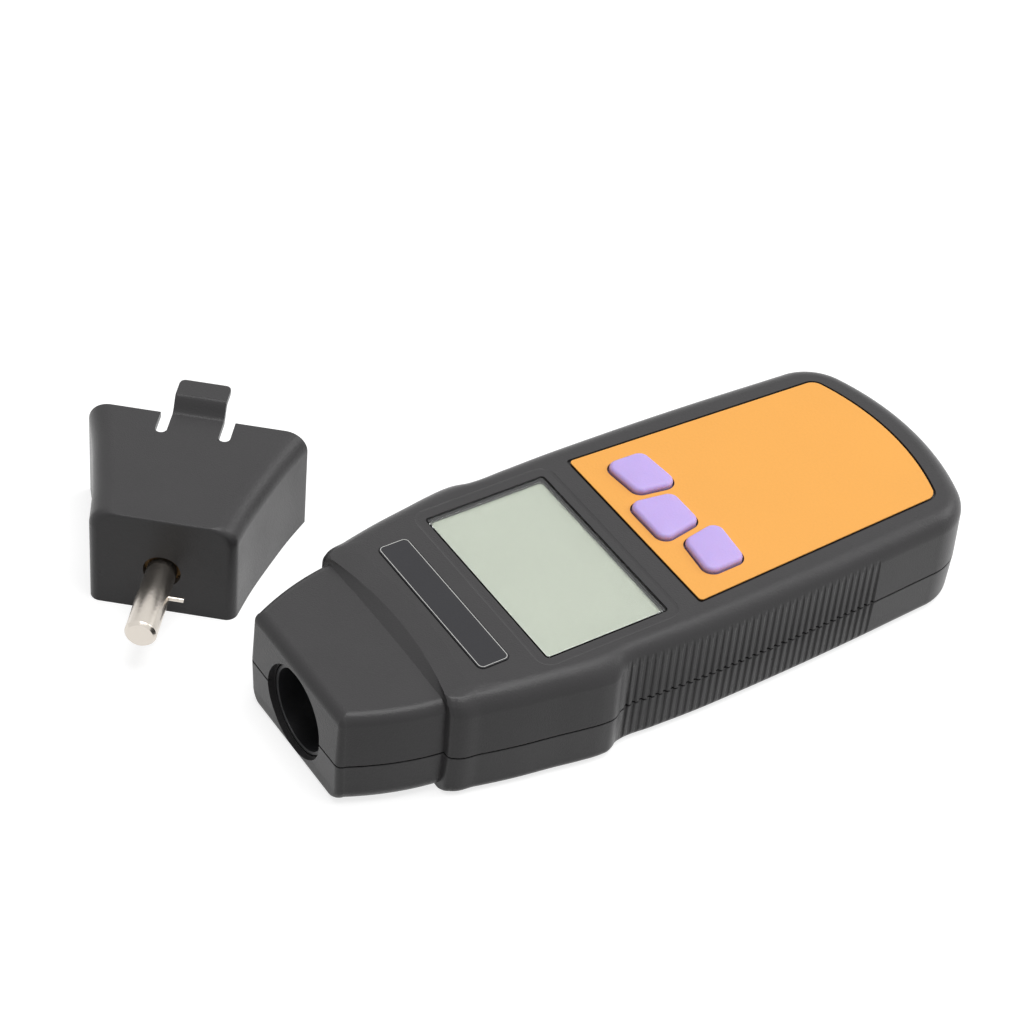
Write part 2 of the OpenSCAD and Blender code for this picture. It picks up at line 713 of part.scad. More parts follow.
module battery_cover() {
    color("#4c4d50")
    difference() {
        intersection() {
            bottom_skin();
            cover_space(0);
        }
        hollow_bottom();
        for (i = [0:cover_ridges - 1])
            translate([0, cover_y0 + cover_ridge_from + i * cover_ridge_pitch, 0])
                rotate([0, 90, 0])
                    cylinder(r = cover_ridge_r, h = cover_ridge_l, center = true, $fn = corner_fn);
    }
}

module name_plate() {
    color("#5a5c62")
    translate([0, plate_y, body_h - plate_sink])
        linear_extrude(plate_sink + plate_proud) rounded_rect(plate_w, plate_l, plate_r);
}

module keypad_label() {
    color("#ffb85c")
    difference() {
        translate([0, 0, body_h - label_sink]) linear_extrude(label_t) polygon(label_points);
        key_openings(body_h - cut, body_h + cut);
    }
}

module display_window() {
    color("#dfe6e6", 0.5)
    translate([0, window_y, window_seat])
        linear_extrude(window_t) rounded_rect(window_w, window_l, window_r);
}

module display_frame() {
    color("#e8e8e4")
    difference() {
        translate([-frame_w / 2, frame_y - frame_l / 2, board_z])
            cube([frame_w, frame_l, glass_top - board_z]);
        translate([-glass_w / 2 - fit, frame_y - glass_l / 2 - fit, glass_z])
            cube([glass_w + 2 * fit, glass_l + 2 * fit, glass_t + cut]);
        for (s = [-1, 1])
            translate([-glass_w / 2 + strip_end, frame_y + s * (glass_l / 2 - strip_w) - strip_w / 2 - fit,
                       board_z - cut])
                cube([glass_w - 2 * strip_end, strip_w + 2 * fit, glass_z - board_z + 2 * cut]);
        translate([-glass_w / 2 + strip_end + frame_rib, frame_y - glass_l / 2 + 2 * strip_w + frame_rib,
                   board_z - cut])
            cube([glass_w - 2 * (strip_end + frame_rib), glass_l - 4 * strip_w - 2 * frame_rib,
                  glass_z - board_z + 2 * cut]);
    }
}

module display_glass() {
    color("#c4ccb8")
    translate([-glass_w / 2, frame_y - glass_l / 2, glass_z]) cube([glass_w, glass_l, glass_t]);
}

module elastomer_strips() {
    color("#d8a8a0")
    for (s = [-1, 1])
        translate([-glass_w / 2 + strip_end + fit, frame_y + s * (glass_l / 2 - strip_w) - strip_w / 2,
                   board_z])
            cube([glass_w - 2 * (strip_end + fit), strip_w, glass_z - board_z]);
}

module keypad_mat() {
    color("#c9c9c9")
    difference() {
        translate([-mat_w / 2, mat_y - mat_l / 2, mat_z]) cube([mat_w, mat_l, mat_t]);
        for (corners = key_outlines) {
            c = middle(corners);
            translate([c.x, c.y, mat_z - cut]) cylinder(d = contact_hole_d + 2 * fit, h = mat_t + 2 * cut);
        }
    }
}

module key_left() { color("#d0b8fa") key(key_left_outline); }
module key_middle() { color("#d0b8fa") key(key_mid_outline); }
module key_right() { color("#d0b8fa") key(key_right_outline); }

module key_contacts() {
    color("#c8c8c8")
    for (corners = key_outlines) {
        c = middle(corners);
        translate([c.x, c.y, board_z]) rotate_extrude()
            polygon([[0, 0], [contact_hole_d / 2, 0],
                     [contact_hole_d / 2 - contact_edge, contact_t * contact_edge_share],
                     [contact_hole_d / 2 * contact_flat_share, contact_t], [0, contact_t]]);
    }
}

module main_board() {
    color("#2f6b3d")
    difference() {
        translate([-board_w / 2, board_y0, board_under]) cube([board_w, board_l, board_t]);
        for (p = board_posts)
            translate([p.x, p.y, board_under - cut]) cylinder(d = board_hole_d, h = board_t + 2 * cut);
    }
}

chip_w = 12;
chip_t = 1.6;
chip_from = 24;
chip_y = board_y0 + chip_from;
leg_pitch = 1.2;
leg_l = 1.2;
leg_w = 0.4;
leg_h = 0.96;
legs_half = 4;
module processor() {
    color("#202020") {
        translate([-chip_w / 2, chip_y - chip_w / 2, board_under - chip_t]) cube([chip_w, chip_w, chip_t]);
        for (s = [-1, 1], i = [-legs_half:legs_half])
            translate([s * (chip_w + leg_l) / 2 - leg_l / 2, chip_y + i * leg_pitch - leg_w / 2,
                       board_under - leg_h])
                cube([leg_l, leg_w, leg_h]);
    }
}

crystal_from = 14;
crystal_h = 3.4;
crystal_w = 11;
crystal_l = 4.6;
crystal_r = 2.2;
module crystal() {
    color("#c0c0c0")
    translate([0, chip_y + crystal_from, board_under - crystal_h])
        linear_extrude(crystal_h) rounded_rect(crystal_w, crystal_l, crystal_r);
}

cap_x = 18;
cap_from = 4;
cap_r = 2.5;
cap_h = 5.4;
cap_edge = 0.3;
cap_groove = 0.2;
cap_base_h = 0.4;
module capacitors() {
    color("#1f2a44")
    for (x = [-cap_x, cap_x])
        translate([x, chip_y + cap_from, board_under - cap_h]) rotate_extrude()
            polygon([
                [0, 0], [cap_r - cap_edge, 0], [cap_r, cap_edge],
                [cap_r, cap_h - cap_base_h - 2 * cap_edge],
                [cap_r - cap_groove, cap_h - cap_base_h - cap_edge],
                [cap_r, cap_h - cap_base_h], [cap_r, cap_h], [0, cap_h]
            ]);
}

// A small pan-head screw that points up from its seat. The shares are of the head's diameter
// and height, of the shank's length and diameter, and of the cross recess.
head_flat_share = 0.34;
head_round_share = 0.45;
shank_share = 0.92;
tip_share = 0.2;
cross_l_share = 0.56;
cross_w_share = 0.2;
cross_h_share = 0.5;
thread_gap = 0.04;
module pan_screw(d, head_d, head_h, l) {
    difference() {
        rotate_extrude()
            polygon([[0, 0], [head_d * head_flat_share, 0], [head_d / 2, head_h * head_round_share],
                     [head_d / 2, head_h], [d / 2, head_h], [d / 2, head_h + l * shank_share],
                     [d * tip_share, head_h + l], [0, head_h + l]]);
        for (a = [0, 90])
            rotate([0, 0, a])
                translate([-head_d * cross_l_share / 2, -d * cross_w_share / 2, -cut])
                    cube([head_d * cross_l_share, d * cross_w_share, cut + head_h * cross_h_share]);
    }
}

board_head_d = 3.8;
board_head_h = 1.2;
board_bite = 4;
module board_screws() {
    color("silver")
    for (p = board_posts)
        translate([p.x, p.y, board_under - board_head_h])
            pan_screw(board_post_hole - thread_gap, board_head_d, board_head_h, board_t + board_bite);
}

module shell_screws() {
    color("silver")
    for (p = screw_spots)
        translate([p.x, p.y, screw_sink - screw_head_h])
            pan_screw(boss_hole_d - thread_gap, screw_head_d, screw_head_h, screw_l - screw_spare);
}

// Sensor tube with its ears, and what it holds
tube_ear_t = 3;
tube_ear_l = 7;
tube_ear_x = 16.5;
tube_boss_d = 5;
tube_hole_floor = 1.5;
tube_ear_spots = [[tube_ear_x, tube_end_y - tube_ear_l / 2], [-tube_ear_x, tube_end_y - tube_ear_l / 2]];
// The bore is open for its first stretch. Behind a small step it holds the ring and the lens.
bore_open_l = 8;
bore_step = 0.2;
seat_id = tube_id - 2 * bore_step;
lens_from = 11;
lens_rim_t = 1.6;
lens_crown = 2.2;
lens_edge = 2.2;
lens_steps = 6;
lens_d = seat_id - touch_gap;
ring_t = 1.6;
ring_w = 1.6;
carrier_t = 7;
seat_w = 0.6;
seat_t = 1;
carrier_back = 1.4;
carrier_y = tube_end_y - carrier_t - carrier_back;

module sensor_tube() {
    color("#1c1c1e")
    difference() {
        union() {
            along_y(tube_y, axis_z) cylinder(d = tube_od, h = tube_l);
            for (s = tube_ear_spots)
                translate([s.x, s.y, axis_z - tube_ear_t / 2]) cylinder(d = tube_ear_l, h = tube_ear_t);
            translate([-tube_ear_x, tube_end_y - tube_ear_l, axis_z - tube_ear_t / 2])
                cube([2 * tube_ear_x, tube_ear_l, tube_ear_t]);
        }
        along_y(tube_y - cut, axis_z) cylinder(d = tube_id, h = bore_open_l + cut);
        along_y(tube_y, axis_z) cylinder(d = seat_id, h = lens_from + lens_rim_t);
        along_y(tube_y, axis_z) cylinder(d = seat_id - 2 * seat_w, h = tube_l + cut);
        along_y(tube_y + lens_from + lens_rim_t + seat_t, axis_z) cylinder(d = seat_id, h = tube_l);
        for (s = tube_ear_spots)
            translate([s.x, s.y, axis_z - tube_ear_t]) cylinder(d = board_hole_d, h = 2 * tube_ear_t);
    }
}

module lens_ring() {
    color("#101010")
    along_y(tube_y + lens_from - ring_t, axis_z)
        rotate_extrude() translate([lens_d / 2 - ring_w, 0]) square([ring_w, ring_t]);
}

module objective_lens() {
    color("#a8c8e8", 0.5)
    along_y(tube_y + lens_from, axis_z) rotate_extrude() polygon(concat(
        [[0, lens_rim_t], [0, -lens_crown]],
        [for (i = [1:lens_steps]) let (t = i / lens_steps)
            [t * (lens_d / 2 - lens_edge), -lens_crown * (1 - t * t)]],
        [[lens_d / 2, 0], [lens_d / 2, lens_rim_t]]
    ));
}

laser_d = 6;
laser_l = 9;
laser_edge = 0.3;
laser_eye_r = 1.2;
laser_eye_l = 0.8;
eye_d = 5;
eye_dome = 2.4;
eye_steps = 5;
eye_seat = 1;
bore_x = 5.2;
module sensor_carrier() {
    color("#181818")
    difference() {
        along_y(carrier_y, axis_z) cylinder(d = lens_d, h = carrier_t);
        for (hole = [[-bore_x, laser_d], [bore_x, eye_d]])
            translate([hole[0], 0, 0]) along_y(carrier_y - cut, axis_z)
                cylinder(d = hole[1] + touch_gap, h = carrier_t + 2 * cut);
    }
}

module laser_module() {
    color("#b08d3c")
    translate([-bore_x, 0, 0]) along_y(carrier_y + carrier_t - laser_l, axis_z) rotate_extrude()
        polygon([[laser_eye_r, 0], [laser_d / 2 - laser_edge, 0], [laser_d / 2, laser_edge],
                 [laser_d / 2, laser_l], [0, laser_l], [0, laser_eye_l], [laser_eye_r, laser_eye_l]]);
}

module photo_sensor() {
    color("#303040")
    translate([bore_x, 0, 0]) along_y(carrier_y + eye_seat, axis_z) rotate_extrude() polygon(concat(
        [[0, -eye_dome]],
        [for (i = [1:eye_steps]) let (a = i * 90 / eye_steps) [eye_d / 2 * sin(a), -eye_dome * cos(a)]],
        [[eye_d / 2, carrier_t - eye_seat], [0, carrier_t - eye_seat]]
    ));
}

sensor_board_t = 1.2;
module sensor_board() {
    color("#2f6b3d")
    along_y(carrier_y + carrier_t, axis_z) cylinder(d = lens_d, h = sensor_board_t);
}

// Flat ribbon from the sensor board up to the main board
ribbon_w = 8;
ribbon_t = 0.4;
ribbon_drop = 1.2;
module sensor_ribbon() {
    color("#d8d8d0")
    translate([-ribbon_w / 2, 0, 0]) rotate([90, 0, 90]) linear_extrude(ribbon_w)
        polygon([[ribbon_y, axis_z], [ribbon_y + ribbon_t, axis_z],
                 [ribbon_y + ribbon_t, board_under - ribbon_drop - ribbon_t],
                 [ribbon_end_y - ribbon_t, board_under - ribbon_drop - ribbon_t],
                 [ribbon_end_y, board_under - ribbon_drop],
                 [ribbon_end_y, board_under], [ribbon_end_y - ribbon_t, board_under],
                 [ribbon_end_y - ribbon_t, board_under - ribbon_drop],
                 [ribbon_y, board_under - ribbon_drop]]);
}
ribbon_y = carrier_y + carrier_t + sensor_board_t;
ribbon_lap = 4;
ribbon_end_y = board_y0 + ribbon_lap;

module tube_screws() {
    color("silver")
    for (s = tube_ear_spots)
        translate([s.x, s.y, axis_z + tube_ear_t / 2 + board_head_h]) rotate([180, 0, 0])
            pan_screw(board_post_hole - thread_gap, board_head_d, board_head_h, tube_ear_t + board_bite);
}

nub_d = 5.2;
nub_l = 1.2;
cell_edge = 0.9;
cell_edge_l = 0.5;
cell_r = cell_d / 2 - touch_gap;
function cell_x(i) = (i - (cells - 1) / 2) * cell_d;
module battery_cells() {
    color("#7d8894")
    for (i = [0:cells - 1]) {
        flip = i % 2;
        translate([cell_x(i), cell_y0 + flip * cell_l, cell_z]) rotate([flip ? 90 : -90, 0, 0])
            rotate_extrude() polygon([
                [0, 0], [cell_d / 2 - cell_edge, 0], [cell_r, cell_edge_l],
                [cell_r, cell_l - nub_l - cell_edge_l], [cell_d / 2 - cell_edge, cell_l - nub_l],
                [nub_d / 2, cell_l - nub_l], [nub_d / 2, cell_l], [0, cell_l]
            ]);
    }
}

contact_w = 9;
contact_leaf_t = 0.4;
contact_h = 10;
// Leaf spring seen from the side: heights from the cell's axis
leaf_foot = -6;
leaf_top = 4.5;
leaf_bend = 1.3;
leaf_end = -3;
leaf_slant_t = 0.3;
module spring_contacts() {
    color("#cfd2d6")
    for (i = [0:cells - 1])
        translate([cell_x(i) - contact_w / 2, battery_y0, cell_z])
            rotate([90, 0, 90]) linear_extrude(contact_w)
            polygon([
                [0, leaf_foot], [contact_leaf_t, leaf_foot], [contact_leaf_t, leaf_top - 2 * leaf_slant_t],
                [spring_room - contact_leaf_t, leaf_bend - leaf_slant_t],
                [spring_room - contact_leaf_t, leaf_end],
                [spring_room, leaf_end], [spring_room, leaf_bend], [contact_leaf_t, leaf_top], [0, leaf_top]
            ]);
}

module plate_contacts() {
    color("#cfd2d6")
    for (i = [0:cells - 1])
        translate([cell_x(i) - contact_w / 2, cell_y0 + cell_l, cell_z - contact_h / 2])
            cube([contact_w, plate_contact_t, contact_h]);
}

// Adapter, in its own frame: spindle axis on y, open end towards +y, closed face at y = 0
adapter_z0 = -axis_z;
adapter_top = adapter_h - axis_z;
adapter_narrow_share = [
    [0, 1.0], [0.3, 0.79], [0.55, 0.545], [0.8, 0.27], [1, 0]
];
adapter_corner = 2.4;
function adapter_half(y) = adapter_wide_w / 2
    - (adapter_wide_w - adapter_narrow_w) / 2 * lookup(y / adapter_l, adapter_narrow_share);
// One upright section of the adapter as an arch: sides, rounded upper edges and a flat top
arch_steps = 5;
function arch(y, half, z0, top, r) = let (
    right = concat([[half, z0]], [for (i = [0:arch_steps]) let (a = 90 * i / arch_steps)
        [half - r + r * cos(a), top - r + r * sin(a)]]),
    round = concat(right, mirrored(right))) [for (i = [len(round) - 1:-1:0]) [round[i].x, y, round[i].y]];

module at_adapter() { translate([adapter_x, adapter_y, axis_z]) rotate([0, 0, adapter_turn]) children(); }

end_wall = 2.2;
bush_l = 4;
bush_front_y = end_wall;
bush_apart = 9.5;
bush_rear_y = bush_front_y + bush_apart;
boss_out_d = bush_od + 2 * adapter_wall;
boss_l = bush_rear_y + bush_l;
slot_x = tab_w / 2 + tab_slot_w / 2;
tab_root_y = adapter_l - tab_slot_l;

// Rounded closed end: distance from the end and inset of the sides as shares of the corner
// radius, and drop of the top
adapter_corner_levels = [[0, 1, 0.6], [0.25, 0.34, 0.15], [1, 0, 0]];
adapter_share_levels = [for (i = [1:len(adapter_narrow_share) - 1]) adapter_narrow_share[i][0]];
module adapter_outer() {
    loft(concat(
        [for (c = adapter_corner_levels) let (y = c[0] * adapter_corner)
            arch(y, adapter_half(y) - c[1] * adapter_corner, adapter_z0, adapter_top - c[2],
                 adapter_edge_r)],
        [for (t = adapter_share_levels) let (y = t * adapter_l)
            arch(y, adapter_half(y), adapter_z0, adapter_top, adapter_edge_r)]
    ));
}

module adapter_hollow() {
    inner_top = adapter_top - adapter_wall;
    inner_edge_r = adapter_edge_r - adapter_wall;
    loft([for (y = concat([end_wall], adapter_l * adapter_share_levels, [adapter_l + cut]))
        arch(y, adapter_half(min(y, adapter_l)) - adapter_wall, adapter_z0 - cut, inner_top, inner_edge_r)]);
}

module tab_window() {
    translate([0, 0, adapter_top - adapter_wall - cut]) linear_extrude(adapter_wall + 2 * cut) {
        translate([-tab_w / 2 - tab_slot_w, tab_root_y + tab_slot_w / 2])
            square([tab_w + 2 * tab_slot_w, tab_slot_l]);
        for (x = [-slot_x, slot_x])
            translate([x, tab_root_y + tab_slot_w / 2]) circle(d = tab_slot_w, $fn = corner_fn);
        translate([-tab_w / 2 - nudge, tab_root_y]) square([tab_w + 2 * nudge, tab_slot_l]);
    }
}

module adapter_shell() {
    color("#4c4d50")
    at_adapter() difference() {
        union() {
            difference() { adapter_outer(); adapter_hollow(); }
            along_y(end_wall - nudge, 0) cylinder(d = boss_out_d, h = boss_l - end_wall + nudge);
        }
        along_y(-cut, 0) cylinder(d = spindle_hole_d, h = boss_l + 2 * cut);
        along_y(bush_front_y, 0) cylinder(d = bush_od, h = boss_l);
        tab_window();
    }
}

// Snap tab: a leaf that steps up beyond the open end to a flat finger lip
lip_t = 1.6;
lip_edge = 0.4;
// The step up: distance from the open end, then heights of the lower and the upper face as
// shares of the step
step_levels = [[1.2, 0.18, 0.5], [2, 0.5, 0.86], [2.8, 0.82, 0.98], [4, 1, 1]];
module adapter_tab() {
    under = adapter_top - adapter_wall;
    tip_y = adapter_l + tab_reach;
    lip_z = under + tab_step;
    color("#4c4d50")
    at_adapter() translate([-tab_w / 2, 0, 0]) rotate([90, 0, 90]) linear_extrude(tab_w)
        polygon(concat(
            [[tab_root_y, under], [adapter_l, under]],
            [for (l = step_levels) [adapter_l + l[0], under + l[1] * tab_step]],
            [[tip_y - lip_edge, lip_z], [tip_y, lip_z + lip_edge], [tip_y, lip_z + lip_t - lip_edge],
             [tip_y - lip_edge, lip_z + lip_t]],
            [for (l = reversed(step_levels)) [adapter_l + l[0], under + l[2] * tab_step + lip_t]],
            [[adapter_l - lip_edge, adapter_top], [tab_root_y, adapter_top]]
        ));
}

module bush(y) {
    at_adapter() along_y(y, 0) difference() {
        cylinder(d = bush_od, h = bush_l);
        translate([0, 0, -cut]) cylinder(d = journal_d + bush_gap, h = bush_l + 2 * cut);
    }
}
module front_bush() { color("#9a7b4f") bush(bush_front_y); }
module rear_bush() { color("#9a7b4f") bush(bush_rear_y); }

collar_d = 11;
collar_gap = 0.15;
tail_journal_d = 5;
disc_t = 1.5;
disc_d = 18;
disc_gap = 0.4;
disc_y = boss_l + disc_gap;
ring_gap = 0.05;
clip_t = 0.8;
clip_groove = 0.5;
end_chamfer = 0.3;
spindle_end_l = 0.9;
spindle_end_y = disc_y + disc_t + clip_t + spindle_end_l;
spindle_chamfer = 0.8;
pin_tip_gap = 0.9;
tip_end_y = -pin_from - pin_tip_gap;
function spindle_at(r, y) = [r, spindle_reach + y];
module spindle() {
    color("#d9dadd")
    at_adapter() difference() {
        along_y(-spindle_reach, 0) rotate_extrude() polygon([
            [0, 0], [spindle_d / 2 - spindle_chamfer, 0], [spindle_d / 2, spindle_chamfer],
            spindle_at(spindle_d / 2, tip_end_y), spindle_at(journal_d / 2, tip_end_y),
            spindle_at(journal_d / 2, bush_front_y + bush_l + collar_gap),
            spindle_at(collar_d / 2, bush_front_y + bush_l + collar_gap),
            spindle_at(collar_d / 2, bush_rear_y - collar_gap),
            spindle_at(journal_d / 2, bush_rear_y - collar_gap),
            spindle_at(journal_d / 2, disc_y), spindle_at(tail_journal_d / 2, disc_y),
            spindle_at(tail_journal_d / 2, disc_y + disc_t),
            spindle_at(tail_journal_d / 2 - clip_groove, disc_y + disc_t),
            spindle_at(tail_journal_d / 2 - clip_groove, disc_y + disc_t + clip_t),
            spindle_at(tail_journal_d / 2, disc_y + disc_t + clip_t),
            spindle_at(tail_journal_d / 2, spindle_end_y - end_chamfer),
            spindle_at(tail_journal_d / 2 - end_chamfer, spindle_end_y), spindle_at(0, spindle_end_y)
        ]);
        translate([0, -pin_from, 0]) rotate([0, 90, 0]) translate([0, 0, -spindle_d / 4])
            cylinder(d = pin_d, h = spindle_d);
    }
}

pin_l = spindle_d * 3 / 4 + pin_reach;
pin_edge = 0.2;
module cross_pin() {
    color("#d9dadd")
    at_adapter() translate([-spindle_d / 4, -pin_from, 0]) rotate([0, 90, 0])
        rotate_extrude() polygon([[0, 0], [pin_d / 2, 0], [pin_d / 2, pin_l - pin_edge],
                                  [pin_d / 2 - pin_edge, pin_l], [0, pin_l]]);
}

disc_holes = 6;
disc_hole_d = 2.2;
disc_hole_share = 0.34;
module encoder_disc() {
    color("#e8e8e8")
    at_adapter() along_y(disc_y, 0) difference() {
        cylinder(d = disc_d, h = disc_t);
        translate([0, 0, -cut]) cylinder(d = tail_journal_d, h = disc_t + 2 * cut);
        for (i = [0:disc_holes - 1])
            rotate([0, 0, i * 360 / disc_holes])
                translate([disc_d * disc_hole_share, 0, -cut])
                    cylinder(d = disc_hole_d, h = disc_t + 2 * cut);
    }
}

clip_w = 2;
clip_slot_w = 1.6;
module retaining_ring() {
    color("#6a6a6a")
    at_adapter() along_y(disc_y + disc_t, 0) difference() {
        cylinder(d = tail_journal_d + 2 * clip_w, h = clip_t - ring_gap);
        translate([0, 0, -cut]) cylinder(d = tail_journal_d - 2 * clip_groove, h = clip_t + 2 * cut);
        translate([-clip_slot_w / 2, 0, -cut]) cube([clip_slot_w, tail_journal_d, clip_t + 2 * cut]);
    }
}

top_shell();
bottom_shell();
name_plate();
keypad_label();
display_window();
display_frame();
display_glass();
elastomer_strips();
keypad_mat();
key_left();
key_middle();
key_right();
key_contacts();
main_board();
processor();
crystal();
capacitors();
board_screws();
sensor_tube();
lens_ring();
objective_lens();
sensor_carrier();
laser_module();
photo_sensor();
sensor_board();
sensor_ribbon();
tube_screws();
battery_cells();
spring_contacts();
plate_contacts();
battery_cover();
shell_screws();
adapter_shell();
adapter_tab();
front_bush();
rear_bush();
spindle();
cross_pin();
encoder_disc();
retaining_ring();
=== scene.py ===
"""Looks of a hand-held laser tachometer and its contact adapter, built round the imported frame."""
import json
import math

import bmesh
import bpy
import numpy as np
from mathutils import Matrix, Vector


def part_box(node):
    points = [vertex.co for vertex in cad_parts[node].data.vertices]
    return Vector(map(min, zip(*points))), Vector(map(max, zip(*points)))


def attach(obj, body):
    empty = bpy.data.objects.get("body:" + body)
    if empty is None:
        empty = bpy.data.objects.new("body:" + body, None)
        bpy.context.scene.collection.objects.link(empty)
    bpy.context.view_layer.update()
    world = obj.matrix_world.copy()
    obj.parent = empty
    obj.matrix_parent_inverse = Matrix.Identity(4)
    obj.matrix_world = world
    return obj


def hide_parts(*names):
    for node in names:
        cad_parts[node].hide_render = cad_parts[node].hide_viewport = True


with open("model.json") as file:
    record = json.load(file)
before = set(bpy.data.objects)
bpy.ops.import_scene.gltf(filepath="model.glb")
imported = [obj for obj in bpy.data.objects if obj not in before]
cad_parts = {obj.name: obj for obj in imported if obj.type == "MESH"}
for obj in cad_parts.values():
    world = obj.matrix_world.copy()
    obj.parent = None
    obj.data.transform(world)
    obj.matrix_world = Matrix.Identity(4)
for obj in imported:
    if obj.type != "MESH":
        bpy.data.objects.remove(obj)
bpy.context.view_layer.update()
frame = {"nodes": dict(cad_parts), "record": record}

# Lengths below are in millimetres, as on a drawing, and MM turns them into metres.
MM = 0.001
low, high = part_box("top_shell")
BODY_L = (high.y - low.y) / MM
BODY_HALF = (high.x - low.x) / MM / 2
BODY_H = high.z / MM
PART_Z = low.z / MM
NOSE_Y = low.y / MM
TAIL_Y = high.y / MM
AXIS_Z = PART_Z

WALL = 2.2
EDGE_R = 5.2
BASE_R = 3.0
TAIL_CORNER_R = 15.0
TAIL_ARC_R = 70.0
DRAFT = 0.35
NOSE_L = 24.3
NOSE_DROP = 2.0
NOSE_FRONT_W = 37.2
NOSE_EDGE_R = 3.0
NOSE_BASE_R = 4.5
NOSE_CORNER_R = 2.0
NOSE_CORNER_LEAST = 0.3
NOSE_CORNER_GROWTH = 0.45
NOSE_LIP_R = 1.2
MOUTH_D = 24.2
TUBE_OD = 23.2
TUBE_L = 28.0
TUBE_INSET = 1.8
FIT = 0.15
CUT = 1.0
AXIS_DOT = 0.001
SAME_PLACE = 1e-7
CREASE = 32
KEY_CREASE = 40
SOFT_CREASE = 50
SHOULDER_Y = NOSE_Y + NOSE_L
NOSE_H = BODY_H - NOSE_DROP

# Side of the housing from the shoulder to the tail corner, as on the CAD part: place as a
# share of the length, half width of the side, half width under the upper edge.
SIDE_SHARES = np.array([
    (0.1321, 0.772, 0.772), (0.1337, 0.787, 0.787), (0.1391, 0.809, 0.809), (0.1717, 0.851, 0.851),
    (0.2228, 0.906, 0.903), (0.2788, 0.950, 0.945), (0.3152, 0.982, 0.969), (0.3451, 1.000, 0.979),
    (0.3565, 0.998, 0.977), (0.3652, 0.980, 0.973), (0.3728, 0.956, 0.968), (0.3815, 0.947, 0.965),
    (0.4348, 0.955, 0.965), (0.4973, 0.966, 0.968), (0.5815, 0.964, 0.964), (0.6630, 0.956, 0.956),
    (0.7391, 0.943, 0.943), (0.8000, 0.929, 0.929), (0.8600, 0.913, 0.913),
])
TAIL_SIDE_SHARE = 0.903

# Ribbed grip
RIB_FROM = NOSE_Y + 70.5
RIB_PITCH = 2.2
RIB_COUNT = 35
RIB_HALF_GROOVE = 0.75
RIB_HALF_FLOOR = 0.35
RIB_DEPTH = 0.6
RIB_OFFSETS = (-1.1, -0.95, -0.8, -0.7, -0.6, -0.5, -0.4, -0.3, 0, 0.3, 0.4, 0.5, 0.6, 0.7, 0.8, 0.95)


def smooth_table(places, values, at):
    """Curve through a table of values, its slopes taken from the neighbouring rows."""
    slopes = np.gradient(values, places)
    k = np.clip(np.searchsorted(places, at) - 1, 0, len(places) - 2)
    h = places[k + 1] - places[k]
    t = (at - places[k]) / h
    a, b = values[k], values[k + 1]
    return (a * (1 + 2 * t) * (1 - t) ** 2 + b * t * t * (3 - 2 * t)
            + h * t * (1 - t) * (slopes[k] * (1 - t) - slopes[k + 1] * t))


def smoothstep(t):
    t = np.clip(t, 0, 1)
    return t * t * (3 - 2 * t)


def level(flat, z):
    """An outline's points, all at height z."""
    return np.column_stack([flat, np.full(len(flat), z)])


# Tail corner and tail end as two tangent arcs
TAIL_HALF = TAIL_SIDE_SHARE * BODY_HALF
TAIL_ARC_Y = TAIL_Y - TAIL_ARC_R
TAIL_CORNER_X = TAIL_HALF - TAIL_CORNER_R
TAIL_CORNER_Y = TAIL_ARC_Y + math.sqrt((TAIL_ARC_R - TAIL_CORNER_R) ** 2 - TAIL_CORNER_X ** 2)
TAIL_TURN = math.atan2(TAIL_CORNER_Y - TAIL_ARC_Y, TAIL_CORNER_X)

side_places = np.append(NOSE_Y + SIDE_SHARES[:, 0] * BODY_L, TAIL_CORNER_Y)
side_low = np.append(SIDE_SHARES[:, 1], TAIL_SIDE_SHARE) * BODY_HALF
side_high = np.append(SIDE_SHARES[:, 2], TAIL_SIDE_SHARE) * BODY_HALF


def side_stations():
    """Places along the side: close together at the shoulder, the flare and every rib."""
    ribs = [RIB_FROM + i * RIB_PITCH + o for i in range(RIB_COUNT) for o in RIB_OFFSETS]
    shoulder = np.linspace(SHOULDER_Y, SHOULDER_Y + 2, 9)
    flare = np.linspace(SHOULDER_Y + 2.6, RIB_FROM - RIB_PITCH, 60)
    tail = np.linspace(ribs[-1] + RIB_PITCH / 2, TAIL_CORNER_Y - 0.5, 16)
    return np.concatenate([shoulder, flare, ribs, tail])


STATIONS = side_stations()


def groove_depth(y):
    """Depth of the grip's grooves along the side."""
    place = (y - RIB_FROM) / RIB_PITCH
    nearest = np.clip(np.round(place), 0, RIB_COUNT - 1)
    off = np.abs(place - nearest) * RIB_PITCH
    return RIB_DEPTH * smoothstep((RIB_HALF_GROOVE - off) / (RIB_HALF_GROOVE - RIB_HALF_FLOOR))


def arc(cx, cy, r, start, end, steps, skip=0):
    angles = np.linspace(start, end, steps + 1)[skip:]
    return np.stack([cx + r * np.cos(angles), cy + r * np.sin(angles)], 1)


# Front of the body: heights, setbacks and bows, as on the CAD part
RAMP_Z = NOSE_H + 1.6
FRONT_Z = (0, NOSE_H, RAMP_Z, BODY_H)
FRONT_BACK = (0, 0, 0.4, 7.2)
FRONT_BOW = (0.3, 0.3, 3.4, 2.6)
RAMP_FADE = 18.0
FRONT_STEPS = 48


